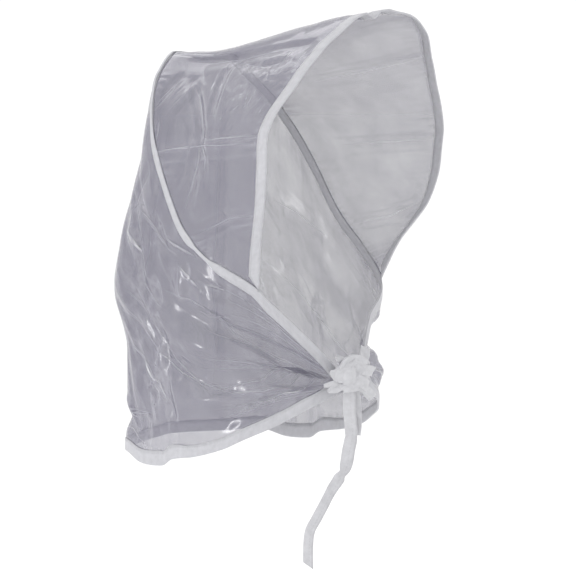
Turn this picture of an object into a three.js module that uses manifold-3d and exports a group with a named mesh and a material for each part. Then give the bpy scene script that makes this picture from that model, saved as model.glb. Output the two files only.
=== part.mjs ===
// Rain bonnet: a hood and a visor of clear film, bound with folded white tape and tied at the front.
// Millimetres. +Z is up, the visor points along -Y and the left side as worn is +X.
// The origin is the underside of the crown film, in the middle plane.

import * as THREE from 'three';
import { mergeVertices } from 'three/addons/utils/BufferGeometryUtils.js';
import Module from 'manifold-3d';

const wasm = await Module();
wasm.setup();

// Hood sizes
const bonnetDrop = 350;       // crown down to the lowest dip of the hem
const hoodHalfWidth = 94;     // hood axis out to the side of the hood
const hoodBackReach = 119;    // hood axis back to the fullest part of the hood
const hoodFrontReach = 104;   // hood axis forward to the knot
const neckAxisBack = 20;      // crown point back to the hood axis
const foldDepth = 4;          // height of the deepest fold of the hood

// Visor sizes
const visorHalfWidth = 99.5;  // middle plane out to the visor's edge at its widest
const visorReach = 122;       // crown point forward to the top of the visor's edge
const visorRise = 18;         // crown point up to the top of the visor's edge
const visorFall = 214;        // top of the visor's edge down to its tip
const templeDrop = 90;        // crown down to where the visor is widest
const crownSag = 6;           // how far the crown film sags between the seam and the edge
const sideSag = 0.4;          // share of that sag left at the sides, where the film hangs straight
const pleatDepth = 4;         // depth of the packing creases across the visor
const pleatRise = 0.3;        // share of the visor over which a crease deepens from the seam
const notchDepth = 5;         // sharp crease that nicks the visor's front, just right of its middle
const notchTurn = -8;
const notchHalfTurn = 3.5;
const tipPower = 4;           // how late the free edge bends in to its two tips

// Film, tape and fits
const filmWall = 1;
const tapeWidth = 10.5;
const tapeWall = 0.8;
const fitGap = 0.3;           // clearance between pieces that touch on the real bonnet
const seamWeb = 1.9;          // half width of the seam tape's middle web
const seamFlange = 4.4;       // how far the seam tape reaches over the visor film
const hoodTapeShare = 0.42;   // most of the hood film's width that a tape takes where the film narrows
const visorTapeShare = 0.6;   // the same for the visor film, less the seam tape
const mitreLimit = 0.6;       // keeps the seam tape's middle from running out where the films fold sharply

// Knot and tie end
const knotWidth = 48;
const knotHeight = 28;
const knotDepth = 17;
const neckThick = 5;          // thickness of the gathered tape where it enters the knot
const neckWaist = 0.6;        // height of the gathered corner half way into the knot, as a share of its end
const neckRoot = 0.4;         // height of its inner end as a share of knotHeight
const tieDrop = 138;          // hood's front corner down to the tip of the long end
const tieWidth = 10.5;
const tieThick = 1.4;
const stubLength = 38;        // short second end that hangs behind the long one
const stubWidth = 9.5;
const stubAside = 6;          // it shows beside the long end, nearer the middle

// How finely the shapes are faceted
const railStations = 56;      // stations round the hood from knot to knot
const hoodRows = 11;          // rows of the hood film between its two tapes
const visorRows = 7;
const ballSides = 12;
const stripSides = 8;
const tieSteps = 20;
const stubSteps = 6;
const surfaceStep = 0.01;     // small step of turn and share for directions on a surface
const railSamples = 720;
const weldDistance = 1e-4;

// Turns are degrees round the hood axis from the middle of the back, positive towards the left, +X.
const knotTurn = 172.5;       // where the films and tapes run into the knot
const tipTurn = 135;          // where the visor's edge meets the seam
const visorEndTurn = 131;     // last station of the visor film, short of its pointed tip
const flangeEndTurn = 139;    // where the seam tape has narrowed to a plain edge

// Plan sections of the hood. drop: share of bonnetDrop below the crown. side: share of hoodHalfWidth.
// back: share of hoodBackReach. squareness: exponent of the rounded plan, 2 for an ellipse.
const hoodLevels = [
  { drop: 0.02, side: 0.62, back: 0.64, squareness: 3.0 },
  { drop: 0.09, side: 0.76, back: 0.70, squareness: 2.9 },
  { drop: 0.17, side: 0.86, back: 0.74, squareness: 2.8 },
  { drop: 0.26, side: 0.93, back: 0.79, squareness: 2.7 },
  { drop: 0.36, side: 0.96, back: 0.86, squareness: 2.9 },
  { drop: 0.49, side: 0.99, back: 0.97, squareness: 3.2 },
  { drop: 0.59, side: 1.00, back: 1.00, squareness: 3.8 },
  { drop: 0.73, side: 0.98, back: 0.92, squareness: 3.0 },
  { drop: 0.85, side: 0.95, back: 0.94, squareness: 3.0 },
  { drop: 1.00, side: 0.92, back: 0.98, squareness: 3.2 },
];

// Front edge of the hood, from the back of the crown round to the knot. right and left: shares of
// bonnetDrop below the crown on the two sides, where the worn edge hangs differently.
const frontEdge = [
  { turn: 0, right: 0.031, left: 0.031 },
  { turn: 22, right: 0.029, left: 0.029 },
  { turn: 37, right: 0.080, left: 0.080 },
  { turn: 49, right: 0.134, left: 0.134 },
  { turn: 62, right: 0.217, left: 0.217 },
  { turn: 76, right: 0.323, left: 0.323 },
  { turn: 91, right: 0.429, left: 0.429 },
  { turn: 107, right: 0.494, left: 0.494 },
  { turn: 133, right: 0.566, left: 0.566 },
  { turn: 156, right: 0.671, left: 0.605 },
  { turn: 166, right: 0.722, left: 0.632 },
  { turn: 170, right: 0.744, left: 0.670 },
  { turn: 173, right: 0.758, left: 0.720 },
  { turn: 180, right: 0.777, left: 0.777 },
];

// Hem of the hood, from the middle of the back round to the knot, as shares of bonnetDrop.
const hemEdge = [
  { turn: 0, drop: 0.983 },
  { turn: 29, drop: 0.994 },
  { turn: 42, drop: 0.986 },
  { turn: 58, drop: 1.000 },
  { turn: 72, drop: 0.994 },
  { turn: 80, drop: 0.974 },
  { turn: 98, drop: 0.957 },
  { turn: 116, drop: 0.931 },
  { turn: 127, drop: 0.906 },
  { turn: 145, drop: 0.866 },
  { turn: 156, drop: 0.837 },
  { turn: 173, drop: 0.803 },
  { turn: 180, drop: 0.797 },
];

// Free edge of the visor, one row for each seam turn that its film runs forward from.
// side: share of visorHalfWidth. reach: share of visorReach. fall: share of visorFall below the top.
const visorEdge = [
  { turn: 0, side: 0.00, reach: 1.00, fall: 0.001 },
  { turn: 12, side: 0.25, reach: 0.99, fall: 0.018 },
  { turn: 24, side: 0.46, reach: 0.97, fall: 0.069 },
  { turn: 37, side: 0.62, reach: 0.91, fall: 0.138 },
  { turn: 52, side: 0.78, reach: 0.84, fall: 0.254 },
  { turn: 66, side: 0.99, reach: 0.75, fall: 0.441 },
  { turn: 80, side: 1.00, reach: 0.72, fall: 0.591 },
  { turn: 95, side: 0.98, reach: 0.67, fall: 0.694 },
  { turn: 114, side: 0.83, reach: 0.51, fall: 0.848 },
  { turn: 135, side: 0.72, reach: 0.40, fall: 1.000 },
];

// Packing creases that run front to back over the visor: share of pleatDepth, out positive.
const visorPleats = [
  { turn: 0, depth: 0.1 },
  { turn: 18, depth: 0.1 },
  { turn: 40, depth: -0.4 },
  { turn: 66, depth: 0.6 },
  { turn: 95, depth: -0.3 },
  { turn: 135, depth: 0.0 },
];

// Sag of the visor film between the seam, reach 0, and the edge, reach 1: share of crownSag.
const crownLift = [
  { reach: 0.00, lift: 0.0 },
  { reach: 0.25, lift: -1.0 },
  { reach: 0.50, lift: -0.5 },
  { reach: 0.80, lift: 0.2 },
  { reach: 1.00, lift: 0.0 },
];

// Folds of the hood that fan out of the knot. knot and back: where the fold lies at its two ends, as
// shares of the way from front edge to hem. from and to: turns that it spans. height: share of foldDepth.
// sides: both, or left for the hollow and the bulge that the film has beside the knot.
const hoodFolds = [
  { knot: 0.20, back: 0.16, from: 74, to: 160, width: 0.05, height: 0.8, sides: 'both' },
  { knot: 0.35, back: 0.30, from: 52, to: 170, width: 0.05, height: -1.0, sides: 'both' },
  { knot: 0.50, back: 0.44, from: 40, to: 174, width: 0.05, height: 1.0, sides: 'both' },
  { knot: 0.62, back: 0.56, from: 58, to: 174, width: 0.04, height: -0.7, sides: 'both' },
  { knot: 0.74, back: 0.72, from: 60, to: 176, width: 0.05, height: 0.9, sides: 'both' },
  { knot: 0.86, back: 0.90, from: 30, to: 150, width: 0.04, height: -0.6, sides: 'both' },
  { knot: 0.52, back: 0.50, from: -40, to: 40, width: 0.07, height: -0.8, sides: 'both' },
  { knot: 0.42, back: 0.42, from: 100, to: 172, width: 0.12, height: -3.6, sides: 'left' },
  { knot: 0.68, back: 0.68, from: 110, to: 168, width: 0.14, height: 1.1, sides: 'left' },
];

// Lobes of the knot: place and half size as shares of knotWidth, knotDepth and knotHeight, tilt in degrees.
const knotLobes = [
  { x: -0.23, y: -0.47, z: 0.29, wide: 0.29, deep: 0.42, high: 0.36, tilt: 0 },
  { x: -0.10, y: -0.41, z: 0.62, wide: 0.17, deep: 0.35, high: 0.24, tilt: 25 },
  { x: 0.17, y: -0.47, z: 0.40, wide: 0.22, deep: 0.35, high: 0.21, tilt: -15 },
  { x: 0.06, y: -0.47, z: 0.10, wide: 0.19, deep: 0.32, high: 0.18, tilt: 20 },
  { x: -0.46, y: -0.44, z: 0.32, wide: 0.17, deep: 0.26, high: 0.23, tilt: 10 },
];

// Route of the long tie end: side, forward of the hood's front corner and below it, as shares of tieDrop.
const tieRoute = [
  { side: -0.080, forward: 0.051, below: 0.007 },
  { side: -0.075, forward: 0.047, below: 0.072 },
  { side: -0.069, forward: 0.043, below: 0.138 },
  { side: -0.058, forward: 0.040, below: 0.203 },
  { side: -0.047, forward: 0.036, below: 0.268 },
  { side: -0.052, forward: 0.035, below: 0.319 },
  { side: -0.065, forward: 0.033, below: 0.370 },
  { side: -0.087, forward: 0.029, below: 0.464 },
  { side: -0.145, forward: 0.025, below: 0.536 },
  { side: -0.196, forward: 0.022, below: 0.587 },
  { side: -0.246, forward: 0.018, below: 0.652 },
  { side: -0.308, forward: 0.014, below: 0.732 },
  { side: -0.359, forward: 0.011, below: 0.797 },
  { side: -0.370, forward: 0.007, below: 0.877 },
  { side: -0.367, forward: 0.002, below: 0.942 },
  { side: -0.359, forward: -0.004, below: 1.000 },
];

const radians = THREE.MathUtils.degToRad;
const mix = THREE.MathUtils.lerp;

// Smooth curve through the rows of a table, level wherever the column turns round.
function curve(rows, key, column, at) {
  const last = rows.length - 1;
  const slope = (row) => (rows[row + 1][column] - rows[row][column]) / (rows[row + 1][key] - rows[row][key]);
  const tangent = (row) => {
    const before = slope(Math.max(row - 1, 0));
    const after = slope(Math.min(row, last - 1));
    return before * after > 0 ? (2 * before * after) / (before + after) : 0;
  };
  let row = 0;
  while (row < last - 1 && at > rows[row + 1][key]) {
    row += 1;
  }
  const span = rows[row + 1][key] - rows[row][key];
  const t = THREE.MathUtils.clamp((at - rows[row][key]) / span, 0, 1);
  const rise = t * t * (3 - 2 * t);
  return mix(rows[row][column], rows[row + 1][column], rise)
    + span * (t * (1 - t) * (1 - t) * tangent(row) - t * t * (1 - t) * tangent(row + 1));
}

// Straight lines between the rows of a table, for creases that stay sharp.
function crease(rows, key, column, at) {
  let row = 0;
  while (row < rows.length - 2 && at > rows[row + 1][key]) {
    row += 1;
  }
  const t = THREE.MathUtils.clamp((at - rows[row][key]) / (rows[row + 1][key] - rows[row][key]), 0, 1);
  return mix(rows[row][column], rows[row + 1][column], t);
}

function frontDrop(turn) {
  return bonnetDrop * curve(frontEdge, 'turn', turn < 0 ? 'right' : 'left', Math.abs(turn));
}

function hemDrop(turn) {
  return bonnetDrop * curve(hemEdge, 'turn', 'drop', Math.abs(turn));
}

// Height of the folds at a place on the hood; the tapes hold the film flat at both edges.
function foldHeight(turn, share) {
  const slack = 4 * share * (1 - share);
  return slack * hoodFolds.reduce((sum, fold) => {
    const spread = fold.from < 0 ? turn : Math.abs(turn);
    const along = (spread - fold.from) / (fold.to - fold.from);
    if (along <= 0 || along >= 1 || (fold.sides === 'left' && turn < 0)) {
      return sum;
    }
    const away = (share - mix(fold.back, fold.knot, along)) / fold.width;
    return sum + foldDepth * fold.height * Math.sin(Math.PI * along) * Math.exp(-away * away);
  }, 0);
}

// Point of the hood's middle surface: share 0 is the front edge, share 1 the hem.
function hoodSurface(turn, share) {
  const drop = mix(frontDrop(turn), hemDrop(turn), share);
  const level = drop / bonnetDrop;
  const angle = radians(turn);
  const behind = Math.cos(angle) > 0;
  const side = hoodHalfWidth * curve(hoodLevels, 'drop', 'side', level);
  const reach = behind ? hoodBackReach * curve(hoodLevels, 'drop', 'back', level) : hoodFrontReach;
  const power = behind ? curve(hoodLevels, 'drop', 'squareness', level) : 2;
  const sum = Math.abs(Math.sin(angle) / side) ** power + Math.abs(Math.cos(angle) / reach) ** power;
  const radius = sum ** (-1 / power) + foldHeight(turn, share);
  return new THREE.Vector3(radius * Math.sin(angle), neckAxisBack + radius * Math.cos(angle), -drop);
}

function visorEdgeRow(turn) {
  const away = Math.abs(turn);
  return new THREE.Vector3(
    Math.sign(turn) * visorHalfWidth * curve(visorEdge, 'turn', 'side', away),
    -visorReach * curve(visorEdge, 'turn', 'reach', away),
    visorRise - visorFall * curve(visorEdge, 'turn', 'fall', away),
  );
}

// Free edge of the visor, drawn onto the seam at its two tips.
function visorEdgePoint(turn) {
  const tip = Math.sign(turn) * tipTurn;
  const miss = hoodSurface(tip, 0).sub(visorEdgeRow(tip));
  const pull = (Math.abs(turn) / tipTurn) ** tipPower;
  return visorEdgeRow(turn).addScaledVector(miss, pull);
}

// Point of the visor's middle surface: share 0 is the seam, share 1 the free edge.
function visorSurface(turn, share) {
  const point = hoodSurface(turn, 0).lerp(visorEdgePoint(turn), share);
  const away = Math.abs(turn);
  const out = new THREE.Vector3(point.x, 0, Math.max(point.z + templeDrop, 0)).normalize();
  const top = mix(sideSag, 1, Math.cos(radians(Math.min(away, 90))) ** 2);
  const tipFade = 1 - (away / tipTurn) ** tipPower;
  const sag = crownSag * curve(crownLift, 'reach', 'lift', share) * top * tipFade;
  const notch = notchDepth * Math.max(0, 1 - Math.abs(turn - notchTurn) / notchHalfTurn);
  const depth = pleatDepth * crease(visorPleats, 'turn', 'depth', away) - notch;
  const pleat = depth * Math.min(1, share / pleatRise);
  return point.addScaledVector(out, sag + pleat);
}

// Local frame of a surface: the point, the rail's direction, the way across it and the outward normal.
function frameAt(surface, turn, share) {
  const low = Math.max(share - surfaceStep, 0);
  const high = Math.min(share + surfaceStep, 1);
  const ahead = surface(turn + surfaceStep, share);
  const along = ahead.sub(surface(turn - surfaceStep, share)).normalize();
  const down = surface(turn, high).sub(surface(turn, low)).divideScalar(high - low);
  const across = down.clone().addScaledVector(along, -down.dot(along));
  const out = new THREE.Vector3().crossVectors(across, along).normalize();
  return { point: surface(turn, share), along, across, out };
}

const hoodFrame = (turn, share) => frameAt(hoodSurface, turn, share);

// The visor runs forward from the seam, so its across and along make an inward pair that is turned here.
function visorFrame(turn, share) {
  const frame = frameAt(visorSurface, turn, share);
  frame.out.negate();
  return frame;
}

// Turns of the stations from knot to knot, spaced evenly along the sum of the three rails.
function stationTurns() {
  const turnAt = (i) => mix(-knotTurn, knotTurn, i / railSamples);
  const rails = [
    (turn) => hoodSurface(turn, 0),
    (turn) => hoodSurface(turn, 1),
    (turn) => visorEdgePoint(THREE.MathUtils.clamp(turn, -tipTurn, tipTurn)),
  ];
  const walked = [0];
  for (let i = 1; i <= railSamples; i += 1) {
    const stretch = rails.reduce((sum, rail) => sum + rail(turnAt(i)).distanceTo(rail(turnAt(i - 1))), 0);
    walked.push(walked[i - 1] + stretch);
  }
  const turns = [];
  for (let station = 0; station <= railStations; station += 1) {
    const goal = (walked[railSamples] * station) / railStations;
    const after = Math.max(1, walked.findIndex((length) => length >= goal));
    const part = (goal - walked[after - 1]) / (walked[after] - walked[after - 1]);
    turns.push(turnAt(after - 1 + part));
  }
  return turns;
}

// Moves the station nearest a turn onto it, so that a film that ends there ends at a station.
function withStation(turns, goal) {
  const nearest = turns.reduce((best, turn) => (Math.abs(turn - goal) < Math.abs(best - goal) ? turn : best));
  return turns.map((turn) => (turn === nearest ? goal : turn));
}

const hoodTurns = withStation(withStation(stationTurns(), visorEndTurn), -visorEndTurn);
const visorTurns = hoodTurns.filter((turn) => Math.abs(turn) <= visorEndTurn);

// Width of each film at a station, measured square to its edge.
const hoodSpan = (turn) => hoodFrame(turn, 0.5).across.length();
const visorSpan = (turn) => visorFrame(turn, 0.5).across.length();

// 0 along the visor and 1 past its tips, where the seam tape binds the hood alone.
const pastTip = (turn) => THREE.MathUtils.smoothstep(Math.abs(turn), visorEndTurn, flangeEndTurn);

// Reach of the seam tape over the visor side; past the tips it narrows to a plain edge.
function flangeReach(turn) {
  return mix(seamFlange, fitGap, pastTip(turn));
}

// Widths that the tapes take up on each film at a station; they gather where the film narrows.
const frontTapeReach = (turn) => Math.min(tapeWidth - flangeReach(turn), hoodTapeShare * hoodSpan(turn));
const hemTapeReach = (turn) => Math.min(tapeWidth, hoodTapeShare * hoodSpan(turn));
const visorTapeReach = (turn) => Math.min(tapeWidth, visorTapeShare * (visorSpan(turn) - seamFlange));

// Closed wall of one thickness on a grid of frames, rows along the rail and columns across it.
function wallGeometry(grid, thickness) {
  const rows = grid.length;
  const columns = grid[0].length;
  const positions = [];
  const put = (frame, offset) => {
    const spot = frame.point.clone().addScaledVector(frame.out, offset);
    positions.push(spot.x, spot.y, spot.z);
  };
  grid.forEach((row) => row.forEach((frame) => put(frame, thickness / 2)));
  grid.forEach((row) => row.forEach((frame) => put(frame, -thickness / 2)));
  const outer = (row, column) => row * columns + column;
  const inner = (row, column) => rows * columns + outer(row, column);
  const faces = [];
  const quad = (a, b, c, d) => faces.push(a, b, c, a, c, d);
  for (let row = 0; row < rows - 1; row += 1) {
    for (let column = 0; column < columns - 1; column += 1) {
      quad(outer(row, column), outer(row, column + 1), outer(row + 1, column + 1), outer(row + 1, column));
      quad(inner(row, column), inner(row + 1, column), inner(row + 1, column + 1), inner(row, column + 1));
    }
  }
  for (let row = 0; row < rows - 1; row += 1) {
    quad(outer(row, 0), outer(row + 1, 0), inner(row + 1, 0), inner(row, 0));
    quad(outer(row + 1, columns - 1), outer(row, columns - 1), inner(row, columns - 1),
      inner(row + 1, columns - 1));
  }
  for (let column = 0; column < columns - 1; column += 1) {
    quad(outer(0, column + 1), outer(0, column), inner(0, column), inner(0, column + 1));
    quad(outer(rows - 1, column), outer(rows - 1, column + 1), inner(rows - 1, column + 1),
      inner(rows - 1, column));
  }
  return outwardGeometry(positions, faces);
}

// Closed body through matching sections, each a ring of points, with its two ends capped.
function sweptGeometry(sections, cap) {
  const sides = sections[0].length;
  const positions = sections.flat().flatMap((spot) => [spot.x, spot.y, spot.z]);
  const faces = [];
  for (let ring = 0; ring < sections.length - 1; ring += 1) {
    for (let side = 0; side < sides; side += 1) {
      const next = (side + 1) % sides;
      const a = ring * sides + side;
      const b = ring * sides + next;
      faces.push(a, b, b + sides, a, b + sides, a + sides);
    }
  }
  const end = (sections.length - 1) * sides;
  cap.forEach(([a, b, c]) => faces.push(c, b, a, end + a, end + b, end + c));
  return outwardGeometry(positions, faces);
}

// Indexed geometry whose faces point out, turned over where its volume comes out negative.
function outwardGeometry(positions, faces) {
  const corner = (i) => new THREE.Vector3().fromArray(positions, 3 * faces[i]);
  let volume = 0;
  for (let i = 0; i < faces.length; i += 3) {
    volume += corner(i).dot(corner(i + 1).cross(corner(i + 2)));
  }
  const ordered = volume < 0 ? faces.slice().reverse() : faces;
  const geometry = new THREE.BufferGeometry();
  geometry.setAttribute('position', new THREE.Float32BufferAttribute(positions, 3));
  geometry.setIndex(ordered);
  return geometry;
}

// Shares of the columns across a film: its two taped borders and even rows between them.
function columnWidths(span, start, startTape, endTape, end, rows) {
  const widths = [start, (start + startTape) / 2, startTape];
  for (let row = 1; row < rows; row += 1) {
    widths.push(mix(startTape, span - endTape, row / rows));
  }
  widths.push(span - endTape, span - (endTape + end) / 2, span - end);
  return widths.map((width) => width / span);
}

const edgeStand = tapeWall + fitGap;    // film edge back from the outside of a folded tape
const seamStand = seamWeb + fitGap;     // film edge back from the middle of the seam tape

function hoodFilm() {
  const grid = hoodTurns.map((turn) => {
    const shares = columnWidths(hoodSpan(turn), seamStand, frontTapeReach(turn), hemTapeReach(turn),
      edgeStand, hoodRows);
    return shares.map((share) => hoodFrame(turn, share));
  });
  return wallGeometry(grid, filmWall);
}

function visorFilm() {
  const grid = visorTurns.map((turn) => {
    const shares = columnWidths(visorSpan(turn), seamStand, seamFlange, visorTapeReach(turn),
      edgeStand, visorRows);
    return shares.map((share) => visorFrame(turn, share));
  });
  return wallGeometry(grid, filmWall);
}

const slotHalf = filmWall / 2 + fitGap;       // film middle out to the inside of the tape
const tapeHalf = slotHalf + tapeWall;         // film middle out to the outside of the tape

// Section of a tape folded over a film edge: across is the way in from the edge, up the way off the film.
function foldedSection(reach) {
  const middle = (edgeStand + reach) / 2;
  return [
    { across: reach, up: slotHalf },
    { across: middle, up: slotHalf },
    { across: tapeWall, up: slotHalf },
    { across: tapeWall, up: -slotHalf },
    { across: middle, up: -slotHalf },
    { across: reach, up: -slotHalf },
    { across: reach, up: -tapeHalf },
    { across: middle, up: -tapeHalf },
    { across: 0, up: -tapeHalf },
    { across: 0, up: tapeHalf },
    { across: middle, up: tapeHalf },
    { across: reach, up: tapeHalf },
  ];
}

// Section of the seam tape: the hood lies on its positive side, the visor on its negative one.
function seamSection(reach, flange) {
  const web = Math.min(seamWeb, flange - fitGap / 2);
  const middle = (seamStand + reach) / 2;
  return [
    { across: reach, up: slotHalf },
    { across: middle, up: slotHalf },
    { across: seamWeb, up: slotHalf },
    { across: seamWeb, up: -slotHalf },
    { across: middle, up: -slotHalf },
    { across: reach, up: -slotHalf },
    { across: reach, up: -tapeHalf },
    { across: middle, up: -tapeHalf },
    { across: 0, up: -tapeHalf },
    { across: -flange, up: -tapeHalf },
    { across: -flange, up: -slotHalf },
    { across: -web, up: -slotHalf },
    { across: -web, up: slotHalf },
    { across: -flange, up: slotHalf },
    { across: -flange, up: tapeHalf },
    { across: 0, up: tapeHalf },
    { across: middle, up: tapeHalf },
    { across: reach, up: tapeHalf },
  ];
}

// Panels of four or three section corners that close the end of a folded tape and of the seam tape.
const foldedPanels = [[0, 1, 10, 11], [1, 2, 9, 10], [2, 3, 8, 9], [3, 4, 7, 8], [4, 5, 6, 7]];
const seamPanels = [
  [0, 1, 16, 17], [1, 2, 15, 16], [2, 12, 15], [12, 13, 14, 15], [2, 3, 11, 12],
  [3, 8, 11], [8, 9, 10, 11], [3, 4, 7, 8], [4, 5, 6, 7],
];

// Triangles of a flat end, split from its panels and turned to face back along the tape.
function panelCap(panels) {
  return panels.flatMap((panel) => panel.slice(2).map((corner, i) => [panel[0], panel[i + 1], corner]));
}

function offSurface(frame, up) {
  return frame.point.addScaledVector(frame.out, up);
}

// Tape folded over the hem: its edge is share 1 of the hood.
function hemBinding() {
  const sections = hoodTurns.map((turn) => foldedSection(hemTapeReach(turn)).map((corner) => (
    offSurface(hoodFrame(turn, 1 - corner.across / hoodSpan(turn)), corner.up))));
  return sweptGeometry(sections, panelCap(foldedPanels));
}

// Tape folded over the visor's free edge.
function visorBinding() {
  const sections = visorTurns.map((turn) => foldedSection(visorTapeReach(turn)).map((corner) => (
    offSurface(visorFrame(turn, 1 - corner.across / visorSpan(turn)), corner.up))));
  return sweptGeometry(sections, panelCap(foldedPanels));
}

// Corner of the seam tape on its visor side; past the tips it carries on from the hood.
function flangeCorner(turn, hood, corner) {
  const at = THREE.MathUtils.clamp(turn, -visorEndTurn, visorEndTurn);
  const past = pastTip(turn);
  const visor = visorFrame(at, -corner.across / visorSpan(at));
  const reach = visor.point.sub(visorSurface(at, 0));
  const plain = hood.across.clone().normalize().multiplyScalar(corner.across);
  const out = visor.out.lerp(hood.out, past).normalize();
  return hood.point.clone().add(reach.lerp(plain, past)).addScaledVector(out, corner.up);
}

// Corner of the seam tape in the plane between the two films, carried out to their mitre.
function mitreCorner(turn, hood, corner) {
  const at = THREE.MathUtils.clamp(turn, -visorEndTurn, visorEndTurn);
  const past = pastTip(turn);
  const other = visorFrame(at, 0).out.lerp(hood.out, past);
  const bisector = hood.out.clone().add(other).normalize();
  const mitre = corner.up / Math.max(bisector.dot(hood.out), mitreLimit);
  return hood.point.clone().addScaledVector(bisector, mitre);
}

// Tape that holds the hood's front edge and, between the tips, the back edge of the visor.
function seamBinding() {
  const sections = hoodTurns.map((turn) => {
    const hood = hoodFrame(turn, 0);
    return seamSection(frontTapeReach(turn), flangeReach(turn)).map((corner) => {
      if (corner.across > 0) {
        return offSurface(hoodFrame(turn, corner.across / hoodSpan(turn)), corner.up);
      }
      return corner.across < 0 ? flangeCorner(turn, hood, corner) : mitreCorner(turn, hood, corner);
    });
  });
  return sweptGeometry(sections, panelCap(seamPanels));
}

// Solids for joining and cutting
function toSolid(geometry) {
  const bare = geometry.clone();
  bare.deleteAttribute('normal');
  bare.deleteAttribute('uv');
  const merged = mergeVertices(bare, weldDistance);
  return new wasm.Manifold(new wasm.Mesh({
    numProp: 3,
    vertProperties: new Float32Array(merged.attributes.position.array),
    triVerts: new Uint32Array(merged.index.array),
  }));
}

function toGeometry(solid) {
  const mesh = solid.getMesh();
  const geometry = new THREE.BufferGeometry();
  geometry.setAttribute('position', new THREE.BufferAttribute(new Float32Array(mesh.vertProperties), 3));
  geometry.setIndex(new THREE.BufferAttribute(new Uint32Array(mesh.triVerts), 1));
  return geometry;
}

// Front corner: where the two gathered sides of the hood meet.
const frontCorner = new THREE.Vector3(
  0,
  neckAxisBack - hoodFrontReach,
  -(frontDrop(180) + hemDrop(180)) / 2,
);

function knotLobe(lobe) {
  const ball = new THREE.SphereGeometry(1, ballSides, ballSides / 2);
  ball.scale(lobe.wide * knotWidth, lobe.deep * knotDepth, lobe.high * knotHeight);
  ball.rotateY(radians(lobe.tilt));
  ball.translate(lobe.x * knotWidth, lobe.y * knotDepth, lobe.z * knotHeight);
  ball.translate(frontCorner.x, frontCorner.y, frontCorner.z);
  return toSolid(ball);
}

// Middle of the knot's first lobe, which everything else runs into.
const knotCore = frontCorner.clone().add(new THREE.Vector3(
  knotLobes[0].x * knotWidth,
  knotLobes[0].y * knotDepth,
  knotLobes[0].z * knotHeight,
));

// Ring of points of an oval section.
function ovalRing(middle, wide, widthAxis, deep, depthAxis, sides) {
  return Array.from({ length: sides }, (_, side) => {
    const angle = (2 * Math.PI * side) / sides;
    return middle.clone()
      .addScaledVector(widthAxis, (wide / 2) * Math.cos(angle))
      .addScaledVector(depthAxis, (deep / 2) * Math.sin(angle));
  });
}

function fanCap(sides) {
  return Array.from({ length: sides - 2 }, (_, i) => [0, i + 1, i + 2]);
}

// Gathered corner of the hood on its way into the knot, face to face with the film and tape ends.
function knotNeck(sign) {
  const turn = sign * knotTurn;
  const top = hoodFrame(turn, 0);
  const low = hoodFrame(turn, 1);
  const middle = top.point.clone().add(low.point).multiplyScalar(0.5);
  const tall = top.point.distanceTo(low.point);
  const upright = top.point.clone().sub(low.point).normalize();
  const into = upright.clone().cross(top.out).normalize().multiplyScalar(sign);
  const square = upright.clone().cross(into).normalize();
  const face = middle.clone().addScaledVector(into, fitGap);
  const waist = middle.clone().lerp(knotCore, 0.5);
  const rings = [
    ovalRing(face, tall, upright, neckThick, square, ballSides),
    ovalRing(waist, neckWaist * tall, upright, neckThick, square, ballSides),
    ovalRing(knotCore, neckRoot * knotHeight, upright, neckThick, square, ballSides),
  ];
  return toSolid(sweptGeometry(rings, fanCap(ballSides)));
}

// Path of the tie end as points from the knot down.
const tiePoints = tieRoute.map((spot) => new THREE.Vector3(
  frontCorner.x + spot.side * tieDrop,
  frontCorner.y - spot.forward * tieDrop,
  frontCorner.z - spot.below * tieDrop,
));

// Flat strip along a path, its width turned towards the right front.
function stripGeometry(points, wide, thick, steps) {
  const path = new THREE.CatmullRomCurve3(points);
  const facing = new THREE.Vector3(-1, -1, 0).normalize();
  const sections = Array.from({ length: steps + 1 }, (_, i) => {
    const middle = path.getPointAt(i / steps);
    const along = path.getTangentAt(i / steps);
    const widthAxis = new THREE.Vector3().crossVectors(along, facing).normalize();
    const depthAxis = new THREE.Vector3().crossVectors(widthAxis, along).normalize();
    return ovalRing(middle, wide, widthAxis, thick, depthAxis, stripSides);
  });
  return sweptGeometry(sections, fanCap(stripSides));
}

function tieEnd() {
  return stripGeometry(tiePoints, tieWidth, tieThick, tieSteps);
}

// Short second end of the tie, behind the long one and part of the knot.
function knotStub() {
  const top = knotCore.clone();
  top.y = tiePoints[0].y + tieThick + 2 * fitGap;
  const fall = stubLength + knotLobes[0].high * knotHeight;
  const low = top.clone().add(new THREE.Vector3(stubAside, tieThick, -fall));
  return toSolid(stripGeometry([top, top.clone().lerp(low, 0.5), low], stubWidth, tieThick, stubSteps));
}

// The knot: lobes, gathered necks and the short end in one body, with a pocket for the long end.
function tieKnot() {
  const parts = [...knotLobes.map(knotLobe), knotNeck(-1), knotNeck(1), knotStub()];
  const joined = parts.reduce((sum, solid) => sum.add(solid));
  const start = tiePoints[0].clone().add(new THREE.Vector3(0, 0, fitGap));
  const pocket = stripGeometry([start, ...tiePoints.slice(1)], tieWidth + 3 * fitGap,
    tieThick + 3 * fitGap, tieSteps);
  return toGeometry(joined.subtract(toSolid(pocket)));
}

const film = (name) => new THREE.MeshStandardMaterial({
  name,
  color: 0xd9dae0,
  roughness: 0.12,
  metalness: 0,
  transparent: true,
  opacity: 0.35,
});

const tape = (name) => new THREE.MeshStandardMaterial({
  name,
  color: 0xeeeff2,
  roughness: 0.55,
  metalness: 0,
});

// Height of the crown film's underside above the point that the tables measure from.
function crownUnderside() {
  const back = visorSurface(0, 0).y;
  const front = visorSurface(0, 1).y;
  return visorSurface(0, back / (back - front)).z - filmWall / 2;
}

const group = new THREE.Group();
group.name = 'rain_bonnet';
group.position.z = -crownUnderside();

function addPiece(name, geometry, material) {
  const mesh = new THREE.Mesh(geometry, material);
  mesh.name = name;
  group.add(mesh);
}

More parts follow.
